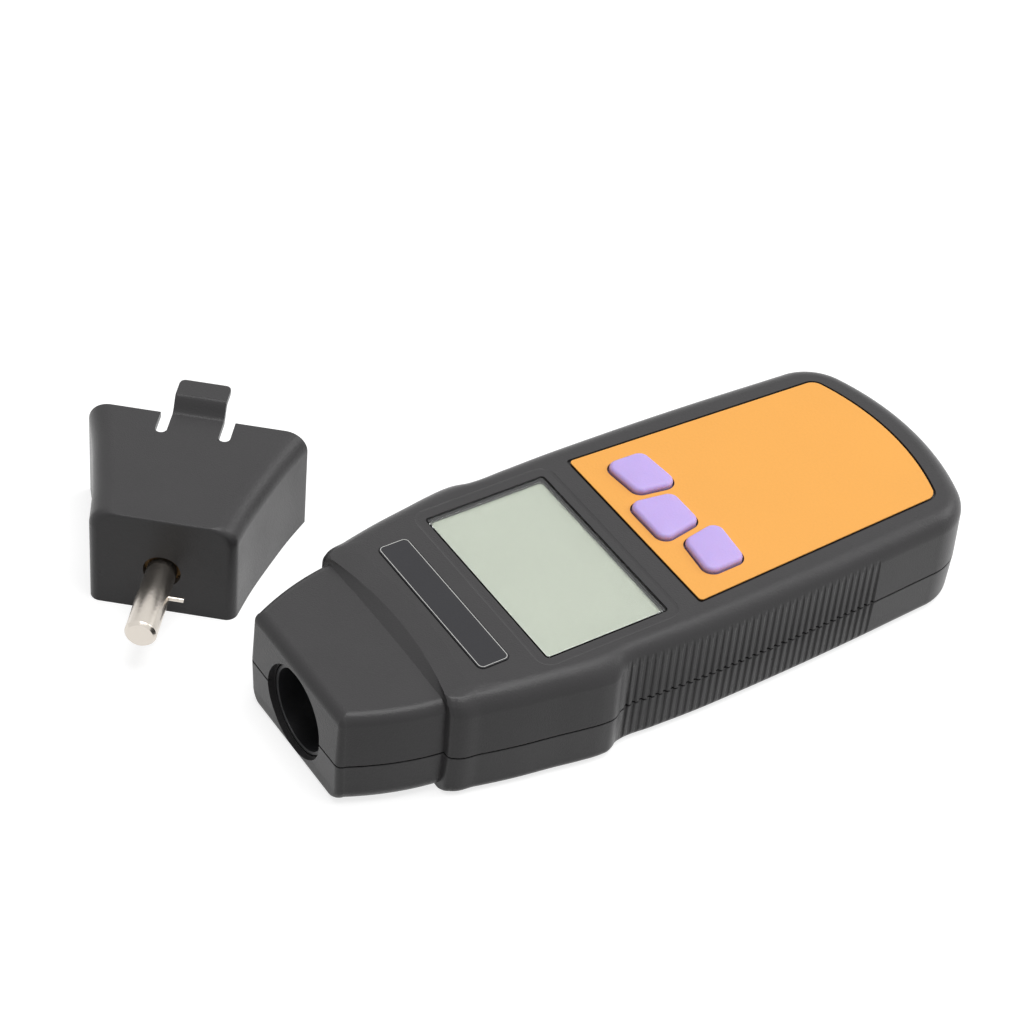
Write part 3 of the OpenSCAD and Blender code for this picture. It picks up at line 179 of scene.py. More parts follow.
def body_ring(z, inset, upper, front_inset=0.0, ribs=True, seam=0.0):
    """Outline of the body at height z, counterclockwise from above."""
    back = np.interp(z, FRONT_Z, FRONT_BACK) + front_inset
    bow = np.interp(z, FRONT_Z, FRONT_BOW)
    half = smooth_table(side_places, side_low, STATIONS) * (1 - upper)
    half += smooth_table(side_places, side_high, STATIONS) * upper
    x = half - inset
    if ribs:
        x = np.minimum(x, smooth_table(side_places, side_low, STATIONS) - groove_depth(STATIONS)) - seam
    y = STATIONS + back * smoothstep(1 - (STATIONS - SHOULDER_Y) / RAMP_FADE)
    side = np.stack([x, y], 1)
    side = np.concatenate([
        side,
        arc(TAIL_CORNER_X, TAIL_CORNER_Y, TAIL_CORNER_R - inset - seam, 0, TAIL_TURN, 20),
        arc(0, TAIL_ARC_Y, TAIL_ARC_R - inset - seam, TAIL_TURN, math.pi / 2, 14, skip=1),
    ])
    t = np.linspace(-1, 1, FRONT_STEPS + 1)[1:-1]
    front = np.stack([side[0, 0] * t, side[0, 1] + bow * (1 - t * t)], 1)
    other = side[-2::-1] * (-1, 1)
    return level(np.concatenate([front, side, other]), z)


def nose_half(y):
    t = (y - NOSE_Y) / NOSE_L
    return NOSE_FRONT_W / 2 * (1.084 + 0.682 * t - 0.261 * t * t)


def nose_ring(z, inset, front_inset, back_y):
    """Outline of the nose at height z, ending at back_y inside the body."""
    if z < PART_Z - 1:
        r = NOSE_CORNER_R + max(0.0, inset - 1) * NOSE_CORNER_GROWTH
    else:
        r = max(NOSE_CORNER_R - inset, NOSE_CORNER_LEAST)
    y0 = NOSE_Y + front_inset + r
    y = np.linspace(y0, back_y, 25)[1:]
    half = np.concatenate([
        arc(nose_half(y0) - inset - r, y0, r, -math.pi / 2, 0, 8),
        np.stack([nose_half(y) - inset, y], 1),
    ])
    return level(np.concatenate([half, half[::-1] * (-1, 1)]), z)


def rounding(z, limit, r):
    """Inset of a surface that rounds over with radius r where it meets its limit height."""
    t = max(0.0, 1 - abs(limit - z) / r)
    return DRAFT + r * (1 - math.sqrt(max(0.0, 1 - t * t)))


def edge_levels(limit, r, steps, *extra):
    """Heights over a rounded edge, closer together towards the flat face."""
    sign = 1 if limit > PART_Z else -1
    levels = [limit - sign * r * (1 - math.sin(math.pi / 2 * i / steps)) for i in range(steps + 1)]
    return sorted(set(levels) | set(extra))


def new_object(name, verts, faces):
    mesh = bpy.data.meshes.new(name)
    mesh.from_pydata([tuple(c * MM for c in v) for v in verts], [], faces)
    mesh.update()
    obj = bpy.data.objects.new(name, mesh)
    bpy.context.scene.collection.objects.link(obj)
    return obj


def loft(name, rings):
    """Closed mesh through rings with equal counts, from the bottom up, or from either end."""
    n, last = len(rings[0]), len(rings) - 1
    verts = np.concatenate(rings)
    faces = [(k * n + i, k * n + (i + 1) % n, (k + 1) * n + (i + 1) % n, (k + 1) * n + i)
             for k in range(last) for i in range(n)]
    faces += [tuple(range(n - 1, -1, -1)), tuple(range(last * n, last * n + n))]
    return new_object(name, verts, faces)


def prism(name, points, z0, z1):
    """Upright extrusion of an outline, counterclockwise from above."""
    return loft(name, [level(points, z) for z in (z0, z1)])


def tube(name, d, y0, y1, z=AXIS_Z, sides=128):
    """Cylinder along Y on the centre line."""
    a = np.linspace(0, 2 * math.pi, sides, endpoint=False)
    circle = np.stack([d / 2 * np.cos(a), z + d / 2 * np.sin(a)], 1)
    rings = [np.column_stack([circle[:, 0], np.full(sides, y), circle[:, 1]]) for y in (y1, y0)]
    return loft(name, rings)


def pillar(name, d, x, y, z0, z1, sides=64):
    a = np.linspace(0, 2 * math.pi, sides, endpoint=False)
    return prism(name, np.stack([x + d / 2 * np.cos(a), y + d / 2 * np.sin(a)], 1), z0, z1)


def boolean(target, tool, operation="DIFFERENCE"):
    """Applies one boolean to target's mesh and deletes the tool."""
    modifier = target.modifiers.new("cut", "BOOLEAN")
    modifier.operation = operation
    modifier.solver = "EXACT"
    modifier.object = tool
    apply_modifiers(target)
    bpy.data.objects.remove(tool)
    return target


def apply_modifiers(obj):
    graph = bpy.context.evaluated_depsgraph_get()
    mesh = bpy.data.meshes.new_from_object(obj.evaluated_get(graph))
    obj.modifiers.clear()
    old = obj.data
    obj.data = mesh
    bpy.data.meshes.remove(old)


def joined(name, parts):
    """One object from several, each keeping its own closed mesh."""
    mesh = bmesh.new()
    for part in parts:
        mesh.from_mesh(part.data)
        bpy.data.objects.remove(part)
    result = bpy.data.meshes.new(name)
    mesh.to_mesh(result)
    mesh.free()
    obj = bpy.data.objects.new(name, result)
    bpy.context.scene.collection.objects.link(obj)
    return obj


def smooth(obj, angle=CREASE):
    """Smooth shading with crisp edges above the angle, weighted by face area."""
    for polygon in obj.data.polygons:
        polygon.use_smooth = True
    obj.data.set_sharp_from_angle(angle=math.radians(angle))
    modifier = obj.modifiers.new("normals", "WEIGHTED_NORMAL")
    modifier.keep_sharp = True
    modifier.weight = 80
    apply_modifiers(obj)
    return obj


def rounded_rect(w, l, r, cy):
    """Rectangle with rounded corners on the centre line, counterclockwise."""
    parts = []
    for sx, sy, start in ((1, -1, -90), (1, 1, 0), (-1, 1, 90), (-1, -1, 180)):
        a = math.radians(start)
        parts.append(arc(sx * (w / 2 - r), cy + sy * (l / 2 - r), r, a, a + math.pi / 2, 10))
    return np.concatenate(parts)


# Housing skins
NOSE_BACK_Y = SHOULDER_Y + 1.3
NOSE_LIFT = 0.02
FINE_DROPS = (0.3, 0.2, 0.1, 0.04)
TOP_LEVELS = edge_levels(BODY_H, EDGE_R, 16, NOSE_H, RAMP_Z, *(BODY_H - d for d in FINE_DROPS))
SEAM_DEPTH = 0.9
SEAM_STEPS = ((0.0, SEAM_DEPTH), (0.17, SEAM_DEPTH), (0.2, 0.08), (0.28, 0.02), (0.4, 0.0))


def seam_rings(ring, sign):
    """Levels of the narrow gap between the halves, from the parting line outward."""
    return [ring(PART_Z + sign * dz, inset) for dz, inset in SEAM_STEPS]


def upper_share(z):
    return max(0.0, 1 - (BODY_H - z) / EDGE_R)


def top_skin():
    body = seam_rings(lambda z, d: body_ring(z, 0, 0, d, seam=d), 1)
    body += [body_ring(z, rounding(z, BODY_H, EDGE_R), upper_share(z)) for z in TOP_LEVELS]
    nose = seam_rings(lambda z, d: nose_ring(z, d, d, NOSE_BACK_Y), 1)
    for z in edge_levels(NOSE_H, NOSE_EDGE_R, 10):
        inset = rounding(z, NOSE_H, NOSE_EDGE_R)
        nose.append(nose_ring(z, inset, inset, NOSE_BACK_Y))
    return boolean(loft("top_skin", body), loft("nose", nose), "UNION")


def bottom_skin():
    body = [body_ring(z, rounding(z, 0, BASE_R), 0) for z in edge_levels(0, BASE_R, 10)]
    body += seam_rings(lambda z, d: body_ring(z, 0, 0, d, seam=d), -1)[::-1]
    nose = []
    for z in edge_levels(0, NOSE_BASE_R, 10):
        inset, front_inset = rounding(z, 0, NOSE_BASE_R), rounding(z, 0, NOSE_LIP_R)
        nose.append(nose_ring(z + NOSE_LIFT, inset, front_inset, NOSE_BACK_Y))
    nose += seam_rings(lambda z, d: nose_ring(z, d, d, NOSE_BACK_Y), -1)[::-1]
    return boolean(loft("bottom_skin", body), loft("nose", nose), "UNION")


def hollow(levels, nose_levels, limit, nose_limit, r, nose_r):
    """Inside of one half, a wall's thickness within its skin."""
    def inset(z, end, radius):
        return WALL + (rounding(z, end, radius) if abs(end - z) <= radius else DRAFT / 2)
    body = [body_ring(z, inset(z, limit, r), 0, WALL, False) for z in levels]
    nose = [nose_ring(z, inset(z, nose_limit, nose_r), WALL + DRAFT, SHOULDER_Y + 2 * WALL)
            for z in nose_levels]
    return boolean(loft("hollow", body), loft("nose_hollow", nose), "UNION")


def top_hollow():
    ceiling, nose_ceiling, r = BODY_H - WALL, NOSE_H - WALL, 3.0
    body = [PART_Z - 1, PART_Z + 3, ceiling - r, ceiling - r * 0.5, ceiling - r * 0.15, ceiling]
    nose = [PART_Z - 2, PART_Z + 3, nose_ceiling - r, nose_ceiling - r * 0.4, nose_ceiling]
    return hollow(body, nose, ceiling, nose_ceiling, r, r)


def bottom_hollow():
    floor, r = WALL, 1.5
    body = [floor, floor + r * 0.3, floor + r, PART_Z - 2, PART_Z + 1]
    nose = [floor + 0.05, floor + 0.8, floor + 2.5, PART_Z - 2, PART_Z + 2]
    return hollow(body, nose, floor, floor, r, 2.5)


def bore_cut():
    """The mouth in the nose and the seat of the sensor tube behind it."""
    seat_y = NOSE_Y + TUBE_INSET
    mouth = tube("mouth", MOUTH_D, NOSE_Y - CUT, seat_y)
    seat = tube("seat", TUBE_OD + 2 * FIT, seat_y - CUT / 2, seat_y + TUBE_L + CUT)
    return boolean(mouth, seat, "UNION")


# Display window, name plate, label and keys, as on the CAD part
WINDOW_W = 54.8
WINDOW_L = 34.6
WINDOW_Y = NOSE_Y + 52 + WINDOW_L / 2
WINDOW_T = 1.2
WINDOW_LEDGE = 0.8
WINDOW_R = 1.0
WINDOW_GAP = 0.25
WINDOW_EDGE = 0.45
SUNK_W = 2.9
SUNK_D = 0.3
SUNK_R = 4.0
SUNK_SLOPE = 0.8
WINDOW_TOP = BODY_H - SUNK_D
PLATE_W = 47.0
PLATE_L = 8.5
PLATE_Y = NOSE_Y + 35.9 + PLATE_L / 2
PLATE_R = 1.6
PLATE_PROUD = 0.3
PLATE_SINK = 0.3
PLATE_SEAT = 0.35
PLATE_EDGE = 0.2
PLATE_LINE_IN = 0.3
PLATE_LINE_W = 0.14
PLATE_LINE_T = 0.015
LABEL_FRONT_W = 58.2
LABEL_BACK_W = 52.2
LABEL_Y = NOSE_Y + 94.7
LABEL_L = 80.8
LABEL_ARC_R = 68.0
LABEL_CORNER_R = 4.0
LABEL_SINK = 0.2
LABEL_T = 0.3
LABEL_LINE = 0.5
LABEL_LINE_IN = 0.7
LABEL_LINE_DEPTH = 0.9
LABEL_FRONT_R = 1.0
KEY_Y = NOSE_Y + 104.8
KEY_R = 2.8
KEY_GAP = 0.45
KEY_TOP = BODY_H + 1.9


def label_outline(grow=0.0):
    """Straight front, sides that draw in, round back corners and a bowed back edge."""
    back = LABEL_Y + LABEL_L
    cx = LABEL_BACK_W / 2 - LABEL_CORNER_R
    arc_y = back - LABEL_ARC_R
    cy = arc_y + math.sqrt((LABEL_ARC_R - LABEL_CORNER_R) ** 2 - cx ** 2)
    turn = math.atan2(cy - arc_y, cx)
    front_x, front_y = LABEL_FRONT_W / 2 + grow, LABEL_Y - grow
    half = np.concatenate([
        arc(front_x - LABEL_FRONT_R, front_y + LABEL_FRONT_R, LABEL_FRONT_R, -math.pi / 2, 0, 6),
        arc(cx, cy, LABEL_CORNER_R + grow, 0, turn, 12),
        arc(0, arc_y, LABEL_ARC_R + grow, turn, math.pi / 2, 16, skip=1),
    ])
    return np.concatenate([half, half[-2::-1] * (-1, 1)])


def rounded(corners, r, grow, steps=12):
    """A convex outline, counterclockwise, with rounded corners, grown by a margin."""
    points = []
    for i, here in enumerate(corners):
        before, after = corners[i - 1], corners[(i + 1) % len(corners)]
        in_n, out_n = ((lambda d: np.array([d[1], -d[0]]) / np.hypot(*d))(b - a)
                       for a, b in ((before, here), (here, after)))
        half = math.acos(np.clip(in_n @ out_n, -1, 1)) / 2
        centre = here - (in_n + out_n) / np.linalg.norm(in_n + out_n) * r / math.cos(half)
        start = math.atan2(in_n[1], in_n[0])
        points.append(arc(centre[0], centre[1], r + grow, start, start + 2 * half, steps))
    return np.concatenate(points)


def key_corners():
    """Corners of the left, middle and right keys, counterclockwise."""
    l, front, rear = 12.6, 16.0 / 2, 11.8 / 2
    middle = np.array([(front, -l / 2), (rear, l / 2), (-rear, l / 2), (-front, -l / 2)]) + (0, KEY_Y)
    w, l, lean, turn = 14.6, 11.4, 2.1, math.radians(-6)
    side = np.array([(w / 2 + lean / 4, -l / 2), (w / 2 - lean / 2, l / 2),
                     (-w / 2 - lean / 2, l / 2), (-w / 2 + lean, -l / 2)])
    spin = np.array([(math.cos(turn), math.sin(turn)), (-math.sin(turn), math.cos(turn))])
    right = side @ spin + (15.6, KEY_Y + 3.3)
    left = right[::-1] * (-1, 1)
    return {"left": left, "middle": middle, "right": right}


def top_shell():
    shell = boolean(top_skin(), top_hollow())
    boolean(shell, bore_cut())
    sunk_w, sunk_l = WINDOW_W + 2 * SUNK_W, WINDOW_L + 2 * SUNK_W
    sunk = rounded_rect(sunk_w, sunk_l, SUNK_R, WINDOW_Y)
    low_frame = rounded_rect(sunk_w - 2 * SUNK_SLOPE, sunk_l - 2 * SUNK_SLOPE,
                             SUNK_R - SUNK_SLOPE, WINDOW_Y)
    seat = window_outline(FIT)
    hole = rounded_rect(WINDOW_W - 2 * WINDOW_LEDGE, WINDOW_L - 2 * WINDOW_LEDGE, WINDOW_R, WINDOW_Y)
    levels = ((low_frame, WINDOW_TOP), (sunk, BODY_H - 0.03), (sunk, BODY_H + CUT))
    boolean(shell, loft("sunk", [level(flat, z) for flat, z in levels]))
    boolean(shell, prism("seat", seat, WINDOW_TOP - WINDOW_T, BODY_H + CUT))
    boolean(shell, prism("hole", hole, BODY_H - WALL - CUT, BODY_H + CUT))
    boolean(shell, prism("plate", plate_outline(FIT), BODY_H - PLATE_SEAT, BODY_H + CUT))
    boolean(shell, prism("label", label_outline(FIT), BODY_H - LABEL_SINK, BODY_H + CUT))
    line = prism("line", label_outline(FIT - 0.001), BODY_H - LABEL_LINE_DEPTH, BODY_H)
    boolean(line, prism("inner", label_outline(-LABEL_LINE_IN), BODY_H - WALL, BODY_H + CUT))
    boolean(shell, line)
    for corners in key_corners().values():
        opening = rounded(corners, KEY_R, KEY_GAP)
        boolean(shell, prism("key", opening, BODY_H - WALL - CUT, BODY_H + CUT))
    return shell


# Battery compartment and cover, as on the CAD part
cover_low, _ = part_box("battery_cover")
springs_low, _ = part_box("spring_contacts")
_, plates_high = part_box("plate_contacts")
ROOM_HALF = 29.6
BOX_WALL = 1.4
ROOM_Y0 = springs_low.y / MM
ROOM_Y1 = plates_high.y / MM
ROOM_TOP = 17.7
COVER_HALF = 28.0
COVER_Y0 = cover_low.y / MM
COVER_T = 2.2
TONGUE_W = 1.0
TONGUE_Z = 1.1
LIP_HALF = 18.0
LIP_FROM = TAIL_Y - TAIL_ARC_R / 6
LIP_H = 8.0
SLACK = 0.25
SCREW_SPOTS = [(27.5, NOSE_Y + 34.8), (-27.5, NOSE_Y + 34.8), (31, NOSE_Y + 98), (-31, NOSE_Y + 98)]
SCREW_HOLE_D = 5.4
SCREW_SINK = 5.0
BOSS_D = 5.8
BOSS_HOLE_D = 4.9
GRIP_COUNT = 5
GRIP_D = 1.2
GRIP_HALF = 10.0
GRIP_FROM = COVER_Y0 + 8
GRIP_PITCH = 2.4


def block(name, x0, x1, y0, y1, z0, z1):
    return prism(name, np.array([(x0, y0), (x1, y0), (x1, y1), (x0, y1)]), z0, z1)


def cover_cut(grow):
    """Space of the battery cover with its tongues and its lip up the tail, grown by a clearance."""
    half, y0 = COVER_HALF + grow, COVER_Y0 - grow
    plan = block("cover_cut", -half, half, y0, TAIL_Y + CUT, -CUT, COVER_T + grow)
    half += TONGUE_W
    tongue = block("tongue", -half, half, y0 + 0.001, TAIL_Y + 2 * CUT,
                   TONGUE_Z - grow, COVER_T + grow - 0.001)
    boolean(plan, tongue, "UNION")
    half = LIP_HALF + grow
    lip = block("lip", -half, half, LIP_FROM, TAIL_Y + 3 * CUT, -2 * CUT, LIP_H + grow)
    return boolean(plan, lip, "UNION")


def bottom_shell():
    shell = boolean(bottom_skin(), bottom_hollow())
    boolean(shell, bore_cut())
    boolean(shell, cover_cut(SLACK))
    for x, y in SCREW_SPOTS:
        boolean(shell, pillar("screw_hole", SCREW_HOLE_D, x, y, -CUT, SCREW_SINK))
    out, top = ROOM_HALF + BOX_WALL, ROOM_TOP + BOX_WALL
    walls = [
        block("front", -out, out, ROOM_Y0 - BOX_WALL, ROOM_Y0, WALL, top),
        block("rear", -out, out, ROOM_Y1, ROOM_Y1 + BOX_WALL, WALL, top),
        block("left", -out, -ROOM_HALF, ROOM_Y0, ROOM_Y1, WALL, top),
        block("right", ROOM_HALF, out, ROOM_Y0, ROOM_Y1, WALL, top),
        block("roof", -ROOM_HALF, ROOM_HALF, ROOM_Y0, ROOM_Y1, ROOM_TOP, top),
    ]
    for x, y in SCREW_SPOTS:
        boss = pillar("boss", BOSS_D, x, y, WALL, PART_Z)
        walls.append(boolean(boss, pillar("boss_hole", BOSS_HOLE_D, x, y, 0, SCREW_SINK)))
    return joined("bottom_case", [shell] + walls)


def battery_cover():
    cover = boolean(bottom_skin(), cover_cut(0), "INTERSECT")
    boolean(cover, bottom_hollow())
    for i in range(GRIP_COUNT):
        groove = tube("groove", GRIP_D, -GRIP_HALF, GRIP_HALF, sides=32)
        groove.data.transform(Matrix.Rotation(math.pi / 2, 4, "Z"))
        groove.data.transform(Matrix.Translation((0, (GRIP_FROM + i * GRIP_PITCH) * MM, -AXIS_Z * MM)))
        boolean(cover, groove)
    return cover


def soften(obj, width):
    """Rounds the crisp edges of a piece by a small width."""
    modifier = obj.modifiers.new("soften", "BEVEL")
    modifier.width = width * MM
    modifier.segments = 2
    modifier.limit_method = "ANGLE"
    modifier.angle_limit = math.radians(60)
    modifier.harden_normals = False
    modifier.use_clamp_overlap = True
    apply_modifiers(obj)
    return obj


def lathe(name, profile, axis="Y", sides=128):
    """Closed ring or solid of revolution. The profile holds radius and place along the axis."""
    a = np.linspace(0, 2 * math.pi, sides, endpoint=False)
    verts = np.array([(r * math.cos(t), y, r * math.sin(t)) for r, y in profile for t in a])
    n = len(profile)
    faces = [(j * sides + i, j * sides + (i + 1) % sides,
              (j + 1) % n * sides + (i + 1) % sides, (j + 1) % n * sides + i)
             for j in range(n) for i in range(sides)]
    obj = new_object(name, verts, faces)
    mesh = bmesh.new()
    mesh.from_mesh(obj.data)
    bmesh.ops.remove_doubles(mesh, verts=mesh.verts, dist=SAME_PLACE)
    bmesh.ops.dissolve_degenerate(mesh, edges=mesh.edges, dist=SAME_PLACE)
    bmesh.ops.recalc_face_normals(mesh, faces=mesh.faces)
    mesh.to_mesh(obj.data)
    mesh.free()
    if axis == "X":
        obj.data.transform(Matrix.Rotation(-math.pi / 2, 4, "Z"))
    return obj


# Keys: a soft crown on straight flanks, as on the CAD part
KEY_FLANGE_Z = BODY_H - WALL - 0.1
KEY_FLANGE_T = 1.2
KEY_FLANGE_W = 0.65
KEY_CROWN = 1.15
KEY_DOME = 0.28
KEY_STEP = 0.05
KEY_DOME_SHARES = (0.93, 0.84, 0.72, 0.58, 0.42, 0.26, 0.12)


def key(name, corners):
    """Flange below the shell, flanks, a crown and a shallow dome."""
    def ring_at(z, grow):
        return level(rounded(corners, KEY_R, grow), z)
    rings = [ring_at(KEY_FLANGE_Z - KEY_FLANGE_T, KEY_FLANGE_W), ring_at(KEY_FLANGE_Z, KEY_FLANGE_W),
             ring_at(KEY_FLANGE_Z + KEY_STEP, 0)]
    shoulder = KEY_TOP - KEY_DOME - KEY_CROWN
    rings += [ring_at(shoulder + KEY_CROWN * math.sin(t), -KEY_CROWN * (1 - math.cos(t)))
              for t in np.linspace(0, math.pi / 2, 9)]
    middle = rings[-1].mean(axis=0)
    edge = rings[-1]
    for share in KEY_DOME_SHARES:
        ring = middle + (edge - middle) * share
        ring[:, 2] = KEY_TOP - KEY_DOME * share ** 2
        rings.append(ring)
    return loft(name, rings)


def film(name, outline, z0, z1, edge=0.08):
    """Thin sheet with a rounded upper edge."""
    steps = ((z0, 0), (z1 - edge, 0), (z1 - edge * 0.3, -edge * 0.3), (z1, -edge))
    return loft(name, [level(outline(grow), z) for z, grow in steps])


def keypad_label():
    z0 = BODY_H - LABEL_SINK
    label = film("label_film", lambda grow: label_outline(grow - LABEL_LINE), z0, z0 + LABEL_T)
    for corners in key_corners().values():
        boolean(label, prism("key", rounded(corners, KEY_R, KEY_GAP), BODY_H - CUT, BODY_H + CUT))
    return label


def plate_outline(grow):
    return rounded_rect(PLATE_W + 2 * grow, PLATE_L + 2 * grow, PLATE_R + grow, PLATE_Y)


def window_outline(grow):
    return rounded_rect(WINDOW_W + 2 * grow, WINDOW_L + 2 * grow, WINDOW_R + grow, WINDOW_Y)


def plate():
    return film("plate_bar", plate_outline, BODY_H - PLATE_SINK, BODY_H + PLATE_PROUD, PLATE_EDGE)


def plate_line():
    """Thin pale line that runs round the plate just inside its edge."""
    top = BODY_H + PLATE_PROUD
    line = prism("plate_line", plate_outline(-PLATE_LINE_IN), top - 0.1, top + PLATE_LINE_T)
    inside = plate_outline(-PLATE_LINE_IN - PLATE_LINE_W)
    return boolean(line, prism("inside", inside, top - CUT, top + CUT))


def window():
    return film("clear_window", lambda grow: window_outline(grow - WINDOW_GAP), WINDOW_TOP - WINDOW_T,
                WINDOW_TOP, WINDOW_EDGE)


# Sensor tube and what closes it, as on the CAD part
TUBE_Y = NOSE_Y + TUBE_INSET
TUBE_END_Y = TUBE_Y + TUBE_L
LENS_FROM = 11.0
EAR_X = 16.5
EAR_L = 7.0
EAR_T = 3.0
EAR_HOLE_D = 2.3
EAR_ROOT = 0.6
BORE_R = 10.4
BORE_DEPTH = 8.0
LENS_BORE_R = 10.2
SEAT_R = 9.6
SEAT_FROM = LENS_FROM + 1.6
SEAT_W = 1.0
TUBE_CHAMFER = 0.3
LENS_R = 10.15
LENS_CROWN = 2.2
LENS_RIM_T = 1.6
LENS_RIM_W = 2.2
CLAMP_T = 1.6
CLAMP_W = 1.6
CLAMP_CHAMFER = 0.25


def placed(obj, x, y, z, turn=0.0):
    """Turns a piece about Z by degrees and moves it to its place."""
    turned = Matrix.Rotation(math.radians(turn), 4, "Z")
    obj.data.transform(Matrix.Translation((x * MM, y * MM, z * MM)) @ turned)
    return obj


def sensor_tube():
    """Stepped barrel with a screw ear at each side of its inner end."""
    outer, c, seat_to = TUBE_OD / 2, TUBE_CHAMFER, SEAT_FROM + SEAT_W
    profile = [
        (outer - c, 0), (outer, c), (outer, TUBE_L), (LENS_BORE_R, TUBE_L), (LENS_BORE_R, seat_to),
        (SEAT_R, seat_to), (SEAT_R, SEAT_FROM), (LENS_BORE_R, SEAT_FROM), (LENS_BORE_R, BORE_DEPTH),
        (BORE_R, BORE_DEPTH), (BORE_R, c), (BORE_R + c * 0.6, 0),
    ]
    parts = [placed(lathe("barrel", profile), 0, TUBE_Y, AXIS_Z)]
    ear_y, z0, z1 = TUBE_END_Y - EAR_L / 2, AXIS_Z - EAR_T / 2, AXIS_Z + EAR_T / 2
    for side in (-1, 1):
        x0, x1 = sorted((side * (outer - EAR_ROOT), side * EAR_X))
        ear = block("ear", x0, x1, TUBE_END_Y - EAR_L, TUBE_END_Y, z0, z1)
        boolean(ear, pillar("ear_end", EAR_L, side * EAR_X, ear_y, z0, z1), "UNION")
        boolean(ear, pillar("ear_hole", EAR_HOLE_D, side * EAR_X, ear_y, z0 - CUT, z1 + CUT))
        parts.append(ear)
    return joined("lens_tube", parts)


def lens():
    """Flat-backed lens with a crown towards the mouth and a flat rim."""
    dome = [(t * (LENS_R - LENS_RIM_W), -LENS_CROWN * (1 - t * t))
            for t in np.linspace(AXIS_DOT, 1, 20)]
    profile = [(AXIS_DOT, LENS_RIM_T)] + dome + [(LENS_R, 0), (LENS_R, LENS_RIM_T)]
    return placed(lathe("front_lens", profile), 0, TUBE_Y + LENS_FROM, AXIS_Z)


def lens_ring():
    inner, c = LENS_R - CLAMP_W, CLAMP_CHAMFER
    profile = [(inner, c), (inner + c, 0), (LENS_R, 0), (LENS_R, CLAMP_T), (inner, CLAMP_T)]
    return placed(lathe("lens_clamp", profile), 0, TUBE_Y + LENS_FROM - CLAMP_T, AXIS_Z)


# Adapter, built along its own spindle axis and then put in place
ADAPTER_L = 40.4
ADAPTER_WIDE = 56.6
ADAPTER_NARROW = 36.5
ADAPTER_WALL = 1.8
ADAPTER_EDGE_R = 5.8
ADAPTER_TOP = 29.6 - AXIS_Z
ADAPTER_CORNER_R = 2.4
ADAPTER_FILLET = 0.55
ADAPTER_PLACE = (-57.2, -96.5, AXIS_Z, 49)
ADAPTER_SHARES = np.array([(0, 1.0), (0.3, 0.79), (0.55, 0.545), (0.8, 0.27), (1, 0)])
END_WALL = 2.2
BOSS_L = 15.7
BUSH_OD = 13.0
HOLE_D = 9.5
RIM_R = 0.3
TAB_W = 13.2
TAB_SLOT_W = 3.0
TAB_SLOT_L = 7.9
TAB_REACH = 9.7
TAB_STEP = 4.0
TAB_LIP_T = 1.6
TAB_LIP_R = 0.8
TAB_BEND = 3.9
TAB_CORNER_R = 1.5
TAB_CORNER_L = 3.0
TAB_SOFT = 0.2
TIP_Y = -23.0
TIP_CHAMFER = 0.8
SPINDLE_R = 4.0
JOURNAL_R = 3.8
JOURNAL_FROM = -9.6
COLLAR_R = 5.5
COLLAR_Y = (6.35, 11.55)
DISC_SEAT_Y = 16.1
TAIL_R = 2.5
CLIP_R = 2.0
CLIP_Y = (17.6, 18.4)
SPINDLE_END_Y = 19.3
PIN_R = 0.6
PIN_Y = -8.7
PIN_FROM = -2.0
PIN_TO = 7.6


def adapter_half(y):
    """Half width of the adapter at a distance from its end face."""
    at = np.array([min(max(y / ADAPTER_L, 1e-6), 1.0)])
    share = smooth_table(ADAPTER_SHARES[:, 0], ADAPTER_SHARES[:, 1], at)[0]
    return ADAPTER_WIDE / 2 - (ADAPTER_WIDE - ADAPTER_NARROW) / 2 * share


def arch(y, half, z0, top, r):
    """Cross-section with straight sides and rounded upper corners."""
    side = np.concatenate([[(half, z0)], arc(half - r, top - r, r, 0, math.pi / 2, 14)])
    flat = np.concatenate([side, side[::-1] * (-1, 1)])
    return np.column_stack([flat[:, 0], np.full(len(flat), y), flat[:, 1]])


def quarter(y, r):
    """Inset of a quarter-round edge at a distance from its face."""
    t = max(0.0, 1 - y / r)
    return r * (1 - math.sqrt(max(0.0, 1 - t * t)))


